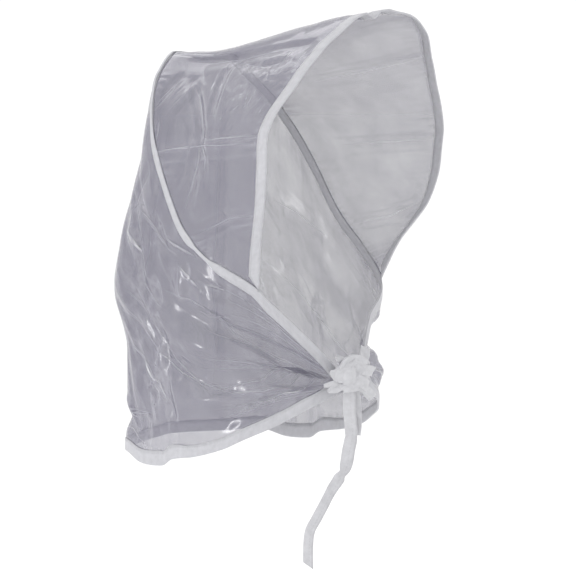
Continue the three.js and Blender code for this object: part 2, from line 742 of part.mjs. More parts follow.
addPiece('hood_film', hoodFilm(), film('hood clear film'));
addPiece('visor_film', visorFilm(), film('visor clear film'));
addPiece('seam_binding', seamBinding(), tape('seam tape'));
addPiece('hem_binding', hemBinding(), tape('hem tape'));
addPiece('visor_edge_binding', visorBinding(), tape('visor edge tape'));
addPiece('tie_knot', tieKnot(), tape('knotted tape'));
addPiece('tie_end', tieEnd(), tape('tie tape'));

export default group;
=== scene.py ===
# %% [markdown]
# # Rain bonnet
# The object is a rain bonnet: two pieces of thin clear vinyl film, a hood and a deep visor, bound with
# white woven tape and tied at the front with the tape's own ends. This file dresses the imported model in
# Blender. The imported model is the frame: it fixes the size and the place of every piece. Lengths are
# written in millimetres, as a maker would, and become metres only where a mesh is made.

import bpy
import numpy as np
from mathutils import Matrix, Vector


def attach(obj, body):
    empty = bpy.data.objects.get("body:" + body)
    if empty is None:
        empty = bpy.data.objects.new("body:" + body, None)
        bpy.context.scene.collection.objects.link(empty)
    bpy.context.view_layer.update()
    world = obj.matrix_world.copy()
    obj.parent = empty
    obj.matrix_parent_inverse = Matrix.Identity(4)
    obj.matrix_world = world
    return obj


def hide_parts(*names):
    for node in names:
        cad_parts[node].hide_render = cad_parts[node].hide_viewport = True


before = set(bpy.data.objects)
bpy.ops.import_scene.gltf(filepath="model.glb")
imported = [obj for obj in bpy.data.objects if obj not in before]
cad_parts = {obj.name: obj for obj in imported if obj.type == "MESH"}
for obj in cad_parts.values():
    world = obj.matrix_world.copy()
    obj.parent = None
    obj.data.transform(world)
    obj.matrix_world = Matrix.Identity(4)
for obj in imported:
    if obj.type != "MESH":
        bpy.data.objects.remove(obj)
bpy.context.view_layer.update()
MM = 0.001
print("CAD nodes:", sorted(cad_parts))

# %% [markdown]
# The camera stands in front of the bonnet and to the right side as worn, a little above the middle of the
# bonnet. A long lens at 1.45 m gives the mild perspective of a studio product picture. The camera could be
# aimed with a constraint, but a plain rotation worked out from two points stays readable and never moves.

# %% Camera
CAMERA_PLACE = Vector((-1.0195, -1.0311, -0.0502))
CAMERA_TARGET = Vector((0.0002, -0.0114, -0.2018))
LENS_MM = 110.56
SENSOR_MM = 36.0

lens = bpy.data.cameras.new("camera")
lens.lens = LENS_MM
lens.sensor_width = SENSOR_MM
camera = bpy.data.objects.new("camera", lens)
camera.location = CAMERA_PLACE
camera.rotation_mode = "QUATERNION"
camera.rotation_quaternion = (CAMERA_TARGET - CAMERA_PLACE).to_track_quat("-Z", "Y")
bpy.context.scene.collection.objects.link(camera)
bpy.context.scene.camera = camera
print("camera distance:", round((CAMERA_TARGET - CAMERA_PLACE).length, 3), "m")

# %% [markdown]
# The bonnet's shape hangs on a few real sizes and on short tables of shares of them, the same ones that
# the solids are made from. Film could be draped by simulation from flat patterns, but a worn bonnet keeps
# an outline that anyone would recognise, so the outline is drawn first and the wrinkles come on top.

# %% Sizes, in millimetres
BONNET_DROP = 350.0
HOOD_HALF_WIDTH = 94.0
HOOD_BACK_REACH = 119.0
HOOD_FRONT_REACH = 104.0
NECK_AXIS_BACK = 20.0
FOLD_DEPTH = 4.0
VISOR_HALF_WIDTH = 99.5
VISOR_REACH = 122.0
VISOR_RISE = 18.0
VISOR_FALL = 214.0
TEMPLE_DROP = 90.0
CROWN_SAG = 6.0
SIDE_SAG = 0.4
TIP_POWER = 4
PLEAT_DEPTH = 4.0
PLEAT_RISE = 0.3
NOTCH_DEPTH = 5.0
NOTCH_TURN = -8.0
NOTCH_HALF_TURN = 3.5
TAPE_WIDTH = 10.5
SEAM_FLANGE = 4.4
TIP_TURN = 135.0
VISOR_END_TURN = 131.0
SOLID_WALL = 1.0

# Plan sections of the hood, by share of the drop from the crown.
HOOD_LEVELS = {
    "drop": (0.02, 0.09, 0.17, 0.26, 0.36, 0.49, 0.59, 0.73, 0.85, 1.00),
    "side": (0.62, 0.76, 0.86, 0.93, 0.96, 0.99, 1.00, 0.98, 0.95, 0.92),
    "back": (0.64, 0.70, 0.74, 0.79, 0.86, 0.97, 1.00, 0.92, 0.94, 0.98),
    "squareness": (3.0, 2.9, 2.8, 2.7, 2.9, 3.2, 3.8, 3.0, 3.0, 3.2),
}
# Front edge and hem of the hood, by turn in degrees from the middle of the back.
FRONT_EDGE = {
    "turn": (0, 22, 37, 49, 62, 76, 91, 107, 133, 156, 166, 170, 173, 180),
    "right": (
        0.031, 0.029, 0.080, 0.134, 0.217, 0.323, 0.429,
        0.494, 0.566, 0.671, 0.722, 0.744, 0.758, 0.777,
    ),
    "left": (
        0.031, 0.029, 0.080, 0.134, 0.217, 0.323, 0.429,
        0.494, 0.566, 0.605, 0.632, 0.670, 0.720, 0.777,
    ),
}
HEM_EDGE = {
    "turn": (0, 29, 42, 58, 72, 80, 98, 116, 127, 145, 156, 173, 180),
    "drop": (0.983, 0.994, 0.986, 1.000, 0.994, 0.974, 0.957, 0.931, 0.906, 0.866, 0.837, 0.803, 0.797),
}
# Free edge of the visor, by the turn of the seam that its film runs forward from.
VISOR_EDGE = {
    "turn": (0, 12, 24, 37, 52, 66, 80, 95, 114, 135),
    "side": (0.00, 0.25, 0.46, 0.62, 0.78, 0.99, 1.00, 0.98, 0.83, 0.72),
    "reach": (1.00, 0.99, 0.97, 0.91, 0.84, 0.75, 0.72, 0.67, 0.51, 0.40),
    "fall": (0.001, 0.018, 0.069, 0.138, 0.254, 0.441, 0.591, 0.694, 0.848, 1.000),
}
VISOR_PLEATS = {"turn": (0, 18, 40, 66, 95, 135), "depth": (0.1, 0.1, -0.4, 0.6, -0.3, 0.0)}
CROWN_LIFT = {"reach": (0.0, 0.25, 0.5, 0.8, 1.0), "lift": (0.0, -1.0, -0.5, 0.2, 0.0)}
# Broad folds that fan out of the knot, between the front edge, share 0, and the hem, share 1.
HOOD_FOLDS = {
    "knot": (0.20, 0.35, 0.50, 0.62, 0.74, 0.86, 0.52, 0.42, 0.68),
    "back": (0.16, 0.30, 0.44, 0.56, 0.72, 0.90, 0.50, 0.42, 0.68),
    "start": (74, 52, 40, 58, 60, 30, -40, 100, 110),
    "end": (160, 170, 174, 174, 176, 150, 40, 172, 168),
    "width": (0.05, 0.05, 0.05, 0.04, 0.05, 0.04, 0.07, 0.12, 0.14),
    "height": (0.8, -1.0, 1.0, -0.7, 0.9, -0.6, -0.8, -3.6, 1.1),
    "left_only": (0, 0, 0, 0, 0, 0, 0, 1, 1),
}
print("tables:", len(HOOD_LEVELS["drop"]), "levels,", len(FRONT_EDGE["turn"]), "edge rows")

# %% [markdown]
# A table becomes a smooth rail by a cubic curve through its rows. The tangent at a row is the harmonic mean
# of the slopes on both sides, or level where the column turns round, so the rail never overshoots.


# %% Rails
def curve(table, key, column, at):
    """Cubic through the rows: ends y0 and y1 mixed by t squared times (3 - 2t), plus the two tangents."""
    x, y = np.array(table[key], float), np.array(table[column], float)
    last = len(x) - 1
    rows = np.arange(last + 1)
    slopes = np.diff(y) / np.diff(x)
    before, after = slopes[np.maximum(rows - 1, 0)], slopes[np.minimum(rows, last - 1)]
    level = before * after <= 0
    tangent = np.where(level, 0.0, 2 * before * after / np.where(level, 1.0, before + after))
    row = np.clip(np.searchsorted(x, at) - 1, 0, last - 1)
    span = x[row + 1] - x[row]
    t = np.clip((at - x[row]) / span, 0, 1)
    value = y[row] + (y[row + 1] - y[row]) * t * t * (3 - 2 * t)
    return value + span * (t * (1 - t) ** 2 * tangent[row] - t * t * (1 - t) * tangent[row + 1])


def front_drop(turn):
    """Drop of the hood's front edge, from the table of the side that the turn is on."""
    away = np.abs(turn)
    right, left = (curve(FRONT_EDGE, "turn", side, away) for side in ("right", "left"))
    return BONNET_DROP * np.where(turn < 0, right, left)


print("front edge at the knot:", round(float(front_drop(180.0)), 1), "mm down")

# %% [markdown]
# The hood is one long lune of film. Its front edge climbs from the knot over the crown, its hem falls low
# at the back, and between them each level is a rounded oval. It could be sewn from flat cuts, but the worn
# outline is easier to set level by level, and the broad folds out of the knot are added to the radius.


# %% Hood surface
def fold_height(turn, share):
    """Sum of the broad folds: a sine along each fold times a bell across it, nothing at the two edges."""
    total = 0.0
    for knot, back, start, end, width, height, left_only in zip(*HOOD_FOLDS.values()):
        spread = turn if start < 0 or left_only else np.abs(turn)
        along = np.clip((spread - start) / (end - start), 0, 1)
        away = (share - back - (knot - back) * along) / width
        total = total + height * np.sin(np.pi * along) * np.exp(-away * away)
    return FOLD_DEPTH * 4 * share * (1 - share) * total


def hood_surface(turn, share):
    """Rounded plan sections: radius is (|sin/side|^p + |cos/reach|^p)^(-1/p) at each turn and drop."""
    front = front_drop(turn)
    drop = front + (BONNET_DROP * curve(HEM_EDGE, "turn", "drop", np.abs(turn)) - front) * share
    level, angle = drop / BONNET_DROP, np.radians(turn)
    behind = np.cos(angle) > 0
    side = HOOD_HALF_WIDTH * curve(HOOD_LEVELS, "drop", "side", level)
    back = HOOD_BACK_REACH * curve(HOOD_LEVELS, "drop", "back", level)
    reach = np.where(behind, back, HOOD_FRONT_REACH)
    power = np.where(behind, curve(HOOD_LEVELS, "drop", "squareness", level), 2.0)
    total = np.abs(np.sin(angle) / side) ** power + np.abs(np.cos(angle) / reach) ** power
    radius = total ** (-1 / power) + fold_height(turn, share)
    return np.stack([radius * np.sin(angle), NECK_AXIS_BACK + radius * np.cos(angle), -drop], -1)


print("hood at the middle of the back:", np.round(hood_surface(0.0, 0.5), 1), "mm")

# %% [markdown]
# The visor is a crescent that springs from the hood's front edge and stands out round the opening. Its free
# edge is a rail of its own. Taut film runs nearly straight from one tape to the other, so the surface is
# ruled with straight lines, and the crown's sag, the pack's pleats and a notch are pushed out of them.


# %% Visor surface
def visor_edge_row(turn):
    """Free edge as tabled: side, reach forward and fall, each a share of its own size."""
    away = np.abs(turn)
    side, reach, fall = (curve(VISOR_EDGE, "turn", column, away) for column in ("side", "reach", "fall"))
    outward = np.sign(turn) * VISOR_HALF_WIDTH * side
    return np.stack([outward, -VISOR_REACH * reach, VISOR_RISE - VISOR_FALL * fall], -1)


def visor_edge(turn):
    """The tabled edge, drawn onto the seam at its tips by the fourth power of the turn's share."""
    tip = np.sign(turn) * TIP_TURN
    miss = hood_surface(tip, np.zeros_like(tip)) - visor_edge_row(tip)
    return visor_edge_row(turn) + miss * ((np.abs(turn) / TIP_TURN) ** TIP_POWER)[..., None]


def visor_surface(turn, share):
    """Straight rulings from seam to free edge, pushed outwards by the crown's sag and by packing pleats."""
    turn, share = np.broadcast_arrays(np.asarray(turn, float), np.asarray(share, float))
    start = hood_surface(turn, np.zeros_like(turn))
    point = start + (visor_edge(turn) - start) * share[..., None]
    away = np.abs(turn)
    out = np.stack([point[..., 0], np.zeros_like(away), np.maximum(point[..., 2] + TEMPLE_DROP, 0)], -1)
    out = out / np.maximum(np.linalg.norm(out, axis=-1, keepdims=True), 1e-9)
    top = SIDE_SAG + (1 - SIDE_SAG) * np.cos(np.radians(np.minimum(away, 90))) ** 2
    sag = CROWN_SAG * curve(CROWN_LIFT, "reach", "lift", share) * top * (1 - (away / TIP_TURN) ** TIP_POWER)
    pleat = PLEAT_DEPTH * np.interp(away, VISOR_PLEATS["turn"], VISOR_PLEATS["depth"])
    pleat = pleat - NOTCH_DEPTH * np.maximum(0, 1 - np.abs(turn - NOTCH_TURN) / NOTCH_HALF_TURN)
    return point + out * (sag + pleat * np.minimum(1, share / PLEAT_RISE))[..., None]


print("visor's foremost point:", np.round(visor_surface(0.0, 1.0), 1), "mm")

# %% [markdown]
# Wrinkles, tapes and creases all need to know which way the film runs and which way is out. Blender has
# normals only once there is a mesh, so the directions come from small steps on the surface itself.


# %% Directions on a surface
def unit(vectors):
    """Each vector divided by its own length."""
    return vectors / np.maximum(np.linalg.norm(vectors, axis=-1, keepdims=True), 1e-9)


def frame_at(surface, turn, share, side):
    """Point, direction along the rail, way across per share, and outward normal, from small steps."""
    turn, share = np.broadcast_arrays(np.asarray(turn, float), np.asarray(share, float))
    step = 0.01
    low, high = np.clip(share - step, 0, 1), np.clip(share + step, 0, 1)
    along = unit(surface(turn + step, share) - surface(turn - step, share))
    down = (surface(turn, high) - surface(turn, low)) / (high - low)[..., None]
    across = down - along * np.sum(down * along, -1, keepdims=True)
    return surface(turn, share), along, across, side * unit(np.cross(across, along))


def hood_frame(turn, share):
    """The hood's frame; its normal points away from the inside."""
    return frame_at(hood_surface, turn, share, 1.0)


def visor_frame(turn, share):
    """The visor's frame, which runs forwards from the seam, so its normal takes the other sign."""
    return frame_at(visor_surface, turn, share, -1.0)


def crown_underside():
    """Height of the crown film's underside, which the row's origin lies on."""
    back, front = visor_surface(0.0, 0.0)[1], visor_surface(0.0, 1.0)[1]
    return visor_surface(0.0, back / (back - front))[2] - SOLID_WALL / 2


LIFT = -crown_underside()
print("lift of the drawn shape to the row's origin:", round(LIFT, 3), "mm")

# %% [markdown]
# Every mesh below is a grid of points: rows along a piece and columns across it. A strip of tape is a
# closed ring of points carried along its edge, and a sheet of film is an open grid that gets its thin wall
# from a Solidify modifier. One helper turns either into a Blender mesh.


# %% Grid meshes
def to_row(points):
    """Millimetres in the drawn shape to metres in the row's frame."""
    return (np.asarray(points, float) + (0.0, 0.0, LIFT)) * MM


def grid_object(name, points, uv, ring=False):
    """Joins each grid point to its next row and column; a ring also closes across and gets end caps."""
    rows, columns = points.shape[:2]
    index = np.arange(rows * columns).reshape(rows, columns)
    across = np.roll(index, -1, 1) if ring else index[:, 1:]
    here = index if ring else index[:, :-1]
    quads = np.stack([here[:-1], across[:-1], across[1:], here[1:]], -1).reshape(-1, 4)
    flat = to_row(points.reshape(-1, 3))
    if ring:
        a, b, c, d = (flat[quads[:, i]] for i in range(4))
        volume = np.sum(np.cross(b, c) * a) + np.sum(np.cross(c, d) * a)
        if volume < 0:
            quads = quads[:, ::-1]
    faces = quads.tolist()
    if ring:
        turned = volume < 0
        faces.append(index[0].tolist() if turned else index[0][::-1].tolist())
        faces.append(index[-1][::-1].tolist() if turned else index[-1].tolist())
    mesh = bpy.data.meshes.new(name)
    mesh.from_pydata(flat.tolist(), [], faces)
    mesh.polygons.foreach_set("use_smooth", np.ones(len(faces), bool))
    corners = np.zeros(len(mesh.loops), np.int32)
    mesh.loops.foreach_get("vertex_index", corners)
    layer = mesh.uv_layers.new(name="UVMap")
    layer.data.foreach_set("uv", uv.reshape(-1, 2)[corners].astype(np.float32).ravel())
    mesh.update()
    piece = bpy.data.objects.new(name, mesh)
    bpy.context.scene.collection.objects.link(piece)
    return piece


def point_attribute(piece, name, values):
    """One number per vertex, for a material to read by name."""
    layer = piece.data.attributes.new(name, "FLOAT", "POINT")
    layer.data.foreach_set("value", values.astype(np.float32).ravel())


def joined(name, parts):
    """Several finished meshes as one piece."""
    bpy.ops.object.select_all(action="DESELECT")
    for part in parts:
        part.select_set(True)
    bpy.context.view_layer.objects.active = parts[0]
    bpy.ops.object.join()
    parts[0].name = name
    return parts[0]


# %% [markdown]
# Tapes and ribbons follow lines through a few chosen spots. Blender's own curve objects could give them,
# but a section is carried along each with its own width and twist, so the line is worked out as points.


# %% Smooth lines
SPAN_STEPS = 40


def walked(points):
    """Distance along a line of points, in millimetres."""
    return np.concatenate([[0.0], np.cumsum(np.linalg.norm(np.diff(points, axis=0), axis=1))])


def spline(points, count):
    """Smooth line through the points, count points evenly spaced: Catmull-Rom spans with root spacing."""
    points = np.asarray(points, float)
    ends = [2 * points[0] - points[1]], [2 * points[-1] - points[-2]]
    p = np.concatenate([ends[0], points, ends[1]])
    knots = np.concatenate([[0.0], np.cumsum(np.sqrt(np.linalg.norm(np.diff(p, axis=0), axis=1)))])
    fine = []
    for i in range(1, len(p) - 2):
        t = np.linspace(knots[i], knots[i + 1], SPAN_STEPS, endpoint=i == len(p) - 3)[:, None]
        k = knots[i - 1 : i + 3]
        a = [((k[j + 1] - t) * p[i - 1 + j] + (t - k[j]) * p[i + j]) / (k[j + 1] - k[j]) for j in range(3)]
        b = [((k[j + 2] - t) * a[j] + (t - k[j]) * a[j + 1]) / (k[j + 2] - k[j]) for j in range(2)]
        fine.append(((k[2] - t) * b[0] + (t - k[1]) * b[1]) / (k[2] - k[1]))
    fine = np.concatenate(fine)
    length = walked(fine)
    at = np.linspace(0, length[-1], count)
    return np.stack([np.interp(at, length, fine[:, i]) for i in range(3)], -1)


# %% [markdown]
# The tape is a white woven ribbon, about 22 mm wide and folded in two. Its fine plain weave could be
# modelled thread by thread, but at this size a bump pattern on the tape's own UV map, in millimetres, shows
# the same ribs in raking light and costs nothing. A line of stitches runs close to its inner edge.


# %% Tape materials
THREAD_MM = 0.9
STITCH_PITCH = 2.6
STITCH_HALF_WIDTH = 0.28
WEAVE_RELIEF = 0.35
STITCH_RELIEF = 1.6
MOTTLE_RELIEF = 1.2


def node(tree, kind, **sockets):
    """Adds a node and sets its sockets, by name or as i0, i1: a value is typed in, a socket is linked."""
    made = tree.nodes.new(kind)
    for name, value in sockets.items():
        numbered = name[0] == "i" and name[1:].isdigit()
        target = made.inputs[int(name[1:]) if numbered else name.replace("_", " ")]
        if isinstance(value, bpy.types.NodeSocket):
            tree.links.new(value, target)
        else:
            target.default_value = value
    return made


def maths(tree, operation, a, b=0.0):
    """One Math node; its result socket."""
    made = node(tree, "ShaderNodeMath", i0=a, i1=b)
    made.operation = operation
    return made.outputs[0]


def new_material(name):
    """A material with its node tree and its Principled shader."""
    material = bpy.data.materials.new(name)
    material.use_nodes = True
    tree = material.node_tree
    return material, tree, tree.nodes["Principled BSDF"]


def tape_material(name, colour, stitch_mm):
    """Ribs of warp and weft as two sine waves, a soft mottling, and a dashed stitch line at one height."""
    material, tree, shader = new_material(name)
    uv = tree.nodes.new("ShaderNodeUVMap")
    uv.uv_map = "UVMap"
    parts = node(tree, "ShaderNodeSeparateXYZ", Vector=uv.outputs["UV"])
    along, across = parts.outputs["X"], parts.outputs["Y"]
    turn = 2 * np.pi / THREAD_MM
    warp = maths(tree, "SINE", maths(tree, "MULTIPLY", along, turn))
    weft = maths(tree, "SINE", maths(tree, "MULTIPLY", across, turn))
    weave = maths(tree, "MULTIPLY", warp, weft)
    mottle = node(tree, "ShaderNodeTexNoise", Vector=uv.outputs["UV"], Scale=0.22, Detail=4.0)
    off_line = maths(tree, "ABSOLUTE", maths(tree, "SUBTRACT", across, stitch_mm))
    on_line = maths(tree, "LESS_THAN", off_line, STITCH_HALF_WIDTH)
    pitch = maths(tree, "SINE", maths(tree, "MULTIPLY", along, 2 * np.pi / STITCH_PITCH))
    dash = maths(tree, "GREATER_THAN", pitch, -0.35)
    stitch = maths(tree, "MULTIPLY", on_line, dash)
    ribs = maths(tree, "MULTIPLY", weave, WEAVE_RELIEF)
    height = maths(tree, "ADD", ribs, maths(tree, "MULTIPLY", stitch, STITCH_RELIEF))
    height = maths(tree, "ADD", height, maths(tree, "MULTIPLY", mottle.outputs["Fac"], MOTTLE_RELIEF))
    bump = node(tree, "ShaderNodeBump", Strength=0.55, Distance=0.0002, Height=height)
    shade = node(tree, "ShaderNodeMapRange", Value=mottle.outputs["Fac"], i1=0.3, i2=0.7, i3=0.90, i4=1.04)
    between = maths(tree, "MULTIPLY", maths(tree, "SUBTRACT", on_line, stitch), 0.10)
    gap = maths(tree, "SUBTRACT", shade.outputs[0], between)
    rib = maths(tree, "ADD", gap, maths(tree, "MULTIPLY", weave, 0.025))
    tint = node(tree, "ShaderNodeMix")
    tint.data_type = "RGBA"
    tint.blend_type = "MULTIPLY"
    tint.inputs["Factor"].default_value = 1.0
    tint.inputs["A"].default_value = (*colour, 1.0)
    tree.links.new(rib, tint.inputs["B"])
    tree.links.new(tint.outputs["Result"], shader.inputs["Base Color"])
    tree.links.new(bump.outputs["Normal"], shader.inputs["Normal"])
    shader.inputs["Roughness"].default_value = 0.62
    shader.inputs["Sheen Weight"].default_value = 0.25
    shader.inputs["Sheen Roughness"].default_value = 0.4
    return material


# The tie and the knot are the same tape as the binding, painted about a tenth lighter: a lit copy of it.
binding_look = tape_material("woven binding tape", (0.50, 0.50, 0.53), 8.6)
lighter_tie_look = tape_material("woven tie tape painted lighter", (0.56, 0.56, 0.585), 4.2)
print("tape materials:", binding_look.name, "and", lighter_tie_look.name)

# %% [markdown]
# The tie is what is left of the seam tape below the knot. One long end hangs free for about 150 mm: down,
# a swing to the right side, and a slanted cut at its tip. It is the only cord of the object, so it is
# made first. Its section is tape folded in two, so one long side is closed and the other shows the slit.

# %% Route of the tie end
CORNER_DROP = BONNET_DROP * (FRONT_EDGE["right"][-1] + HEM_EDGE["drop"][-1]) / 2
FRONT_CORNER = np.array([0.0, NECK_AXIS_BACK - HOOD_FRONT_REACH, -CORNER_DROP])
TIE_DROP = 138.0
# Side, forward and below of the hood's front corner, as shares of the tie's drop.
TIE_ROUTE = (
    (-0.080, 0.051, 0.007), (-0.075, 0.047, 0.072), (-0.069, 0.043, 0.138), (-0.058, 0.040, 0.203),
    (-0.047, 0.036, 0.268), (-0.052, 0.035, 0.319), (-0.065, 0.033, 0.370), (-0.087, 0.029, 0.464),
    (-0.145, 0.025, 0.536), (-0.196, 0.022, 0.587), (-0.246, 0.018, 0.652), (-0.308, 0.014, 0.732),
    (-0.359, 0.011, 0.797), (-0.370, 0.007, 0.877), (-0.367, 0.002, 0.942), (-0.359, -0.004, 1.000),
)
TIE_FACING = np.array([-1.0, -1.0, 0.0]) / np.sqrt(2)
TIE_STATIONS = 90
TIE_SECTION = {"half_width": 5.1, "thick": 1.5, "slit": 0.3}
# By share of the tie's length: its width, as a share, and its twist in degrees.
TIE_WIDTH = {"at": (0, 0.05, 0.40, 0.50, 0.60, 1.0), "width": (0.96, 1.0, 1.0, 0.90, 0.78, 0.76)}
TIE_TWIST = {
    "at": (0, 0.22, 0.26, 0.31, 0.42, 0.465, 0.51, 0.60, 0.78, 1.0),
    "twist": (6, -6, 24, -8, 8, 52, -18, 8, -8, 4),
}
print("tie end:", len(TIE_ROUTE), "spots")


# %% Sections of tape
def folded_ring(half_width, thick, slit, sides=9):
    """Section of tape folded in two: a round closed side, two flat leaves and a slit between them."""
    arc = np.linspace(-np.pi / 2, np.pi / 2, sides)
    fold = half_width - thick / 2
    outer = np.stack([fold + thick / 2 * np.cos(arc), thick / 2 * np.sin(arc)], -1)
    inner = np.stack([fold + slit / 2 * np.cos(arc[::-1]), slit / 2 * np.sin(arc[::-1])], -1)
    left = -half_width
    low = [(left * 0.5, -thick / 2), (0.0, -thick / 2), (half_width * 0.5, -thick / 2)]
    high = [(half_width * 0.5, thick / 2), (0.0, thick / 2), (left * 0.5, thick / 2), (left, thick / 2)]
    gap = [(left, slit / 2), (0.0, slit / 2)], [(0.0, -slit / 2), (left, -slit / 2)]
    return np.concatenate([[(left, -thick / 2)], low, outer, high, gap[0], inner, gap[1]])


def ribbon_ring(half_width, thick, cup, sides):
    """Rounded flat section: cos and sin raised to small powers, lifted at both sides by the cup."""
    angle = np.linspace(0, 2 * np.pi, sides, endpoint=False)
    c, s = np.cos(angle), np.sin(angle)
    x = half_width * np.sign(c) * np.abs(c) ** 0.5
    y = thick / 2 * np.sign(s) * np.abs(s) ** 0.6
    return np.stack([x, y + cup * (x / half_width) ** 2], -1)


# %% Strips of tape
# A strip's crumple is a sum of this many ripples, and a slanted cut takes its last twentieth.
RIPPLES = 4
CUT_STRETCH = 20


def strip_object(name, line, ring, widths, facing, crumple=0.0, seed=0, twist=None, cut=0.0):
    """Carries a section along a line: first axis across, second outwards; cut slants its far end."""
    along = unit(np.gradient(line, axis=0))
    facing = np.broadcast_to(facing, line.shape)
    wide = unit(np.cross(along, facing))
    deep = unit(np.cross(wide, along))
    if twist is not None:
        c, s = np.cos(np.radians(twist))[:, None], np.sin(np.radians(twist))[:, None]
        wide, deep = wide * c + deep * s, deep * c - wide * s
    length = walked(line)
    rng = np.random.default_rng(seed)
    phases = rng.uniform(0, 2 * np.pi, (RIPPLES, 2))
    spot = ring[None, :, :] * np.stack([widths, np.ones_like(widths)], -1)[:, None, :]
    across = spot[..., 0]
    ripple = sum(
        np.sin(length[:, None] * (0.21 + 0.17 * k) + across * (0.25 + 0.3 * k) + phases[k, 0]) / (1 + k)
        for k in range(RIPPLES)
    )
    lift = spot[..., 1] + crumple * ripple
    slant = cut * across * np.clip(np.linspace(1 - CUT_STRETCH, 1, len(line)), 0, 1)[:, None]
    points = line[:, None, :] + wide[:, None, :] * across[..., None] + deep[:, None, :] * lift[..., None]
    points = points + along[:, None, :] * slant[..., None]
    uv = np.stack(np.broadcast_arrays(length[:, None], across + ring[:, 0].max()), -1)
    return grid_object(name, points, uv, ring=True)


# %% Tie end
tie_spots = np.array(TIE_ROUTE, float)
tie_points = FRONT_CORNER + TIE_DROP * tie_spots * (1, -1, -1)
tie_line = spline(tie_points, TIE_STATIONS)
tie_share = np.linspace(0, 1, len(tie_line))
tie_width = np.interp(tie_share, TIE_WIDTH["at"], TIE_WIDTH["width"])
tie_twist = np.interp(tie_share, TIE_TWIST["at"], TIE_TWIST["twist"])
tie_piece = strip_object(
    "tie_end_tape", tie_line, folded_ring(**TIE_SECTION), tie_width, TIE_FACING,
    crumple=0.22, seed=5, twist=tie_twist, cut=-0.85,
)

# %% [markdown]
# Vinyl film doesn't wrinkle like cloth. It takes sharp creases with nearly flat facets between them, and
# where it is gathered it throws long pinches. Both patterns are drawn in millimetres on the film itself:
# a is the distance along the bonnet's edge, and b the distance across the film.


# %% Flat position on a film
def rail_map(frame_of, limit):
    """Distance along the film's middle line, and the film's width, at each degree of turn."""
    turns = np.arange(-limit, limit + 0.5, 1.0)
    points, _, across, _ = frame_of(turns, 0.5)
    along = walked(points)
    return turns, along - np.interp(0.0, turns, along), np.linalg.norm(across, axis=-1)


HOOD_MAP = rail_map(hood_frame, 180.0)
VISOR_MAP = rail_map(visor_frame, TIP_TURN)
print("hood's middle line:", round(float(HOOD_MAP[1][-1] - HOOD_MAP[1][0])), "mm long")


# %% Facets and patches
def on_film(film_map, turn, share):
    """Flat position a, b of a place on the film, and the film's width there."""
    turns, along, width = film_map
    span = np.interp(turn, turns, width)
    return np.interp(turn, turns, along), share * span, span


FACET_CELLS = 64
FACET_MEAN = 0.17


def facets(a, b, cell, seed):
    """Square of the distance to the nearest scattered point, one to a cell: flat facets, sharp ridges."""
    scatter = np.random.default_rng(seed).uniform(0.1, 0.9, (FACET_CELLS, FACET_CELLS, 2))
    u, v = a / cell, b / cell
    column, row = np.floor(u).astype(int), np.floor(v).astype(int)
    best = np.full(np.shape(u), np.inf)
    for du in (-1, 0, 1):
        for dv in (-1, 0, 1):
            spot = scatter[(column + du) % FACET_CELLS, (row + dv) % FACET_CELLS]
            gap = (column + du + spot[..., 0] - u) ** 2 + (row + dv + spot[..., 1] - v) ** 2
            best = np.minimum(best, gap)
    return best - FACET_MEAN


def patches(a, b, size, seed):
    """Soft blotches from 0 to 1: a sum of four sine waves in turned directions, cut off at both ends."""
    rng = np.random.default_rng(seed)
    total = 0.0
    for heading, phase in rng.uniform(0, 2 * np.pi, (4, 2)):
        total = total + np.sin((a * np.cos(heading) + b * np.sin(heading)) * 2 * np.pi / size + phase)
    return np.clip(0.5 + total / 3, 0, 1)


# %% Pinches and edges
def pinch(film_map, a, b, spots, height, width):
    """A ridge along a line of spots: a tent of the distance over the width, rounded, with faded ends."""
    ends = np.array([on_film(film_map, turn, share)[:2] for turn, share in spots])
    lengths = walked(ends)
    best = np.zeros(np.shape(a))
    for start, end, before in zip(ends[:-1], ends[1:], lengths[:-1]):
        way = end - start
        size = np.linalg.norm(way)
        t = np.clip(((a - start[0]) * way[0] + (b - start[1]) * way[1]) / size**2, 0, 1)
        gap = np.hypot(a - start[0] - t * way[0], b - start[1] - t * way[1])
        fade = np.clip(np.sin(np.pi * (0.04 + 0.92 * (before + t * size) / lengths[-1])), 0, 1) ** 0.5
        tent = np.clip(1 - (np.hypot(gap, 1.5) - 1.5) / (width + 2), 0, 1)
        best = np.maximum(best, (0.4 * tent + 0.6 * tent * tent * (3 - 2 * tent)) * fade)
    return height * best


def smooth_step(value, low, high):
    """0 below low, 1 above high, and t squared times (3 - 2t) between them."""
    t = np.clip((value - low) / (high - low), 0, 1)
    return t * t * (3 - 2 * t)


def edge_wave(a):
    """Slight wave of a taped edge: three sines of unlike lengths."""
    return 0.28 * np.sin(a / 6.1) * np.sin(a / 17.0 + 1.0) + 0.45 * np.sin(a / 31.0 + 2.0)


# %% [markdown]
# The long pinches follow what the worn film does: some fan out of the knot, some hang from the shoulder of
# the seam where the visor's weight pulls, and straight ones are left by the folded pack.

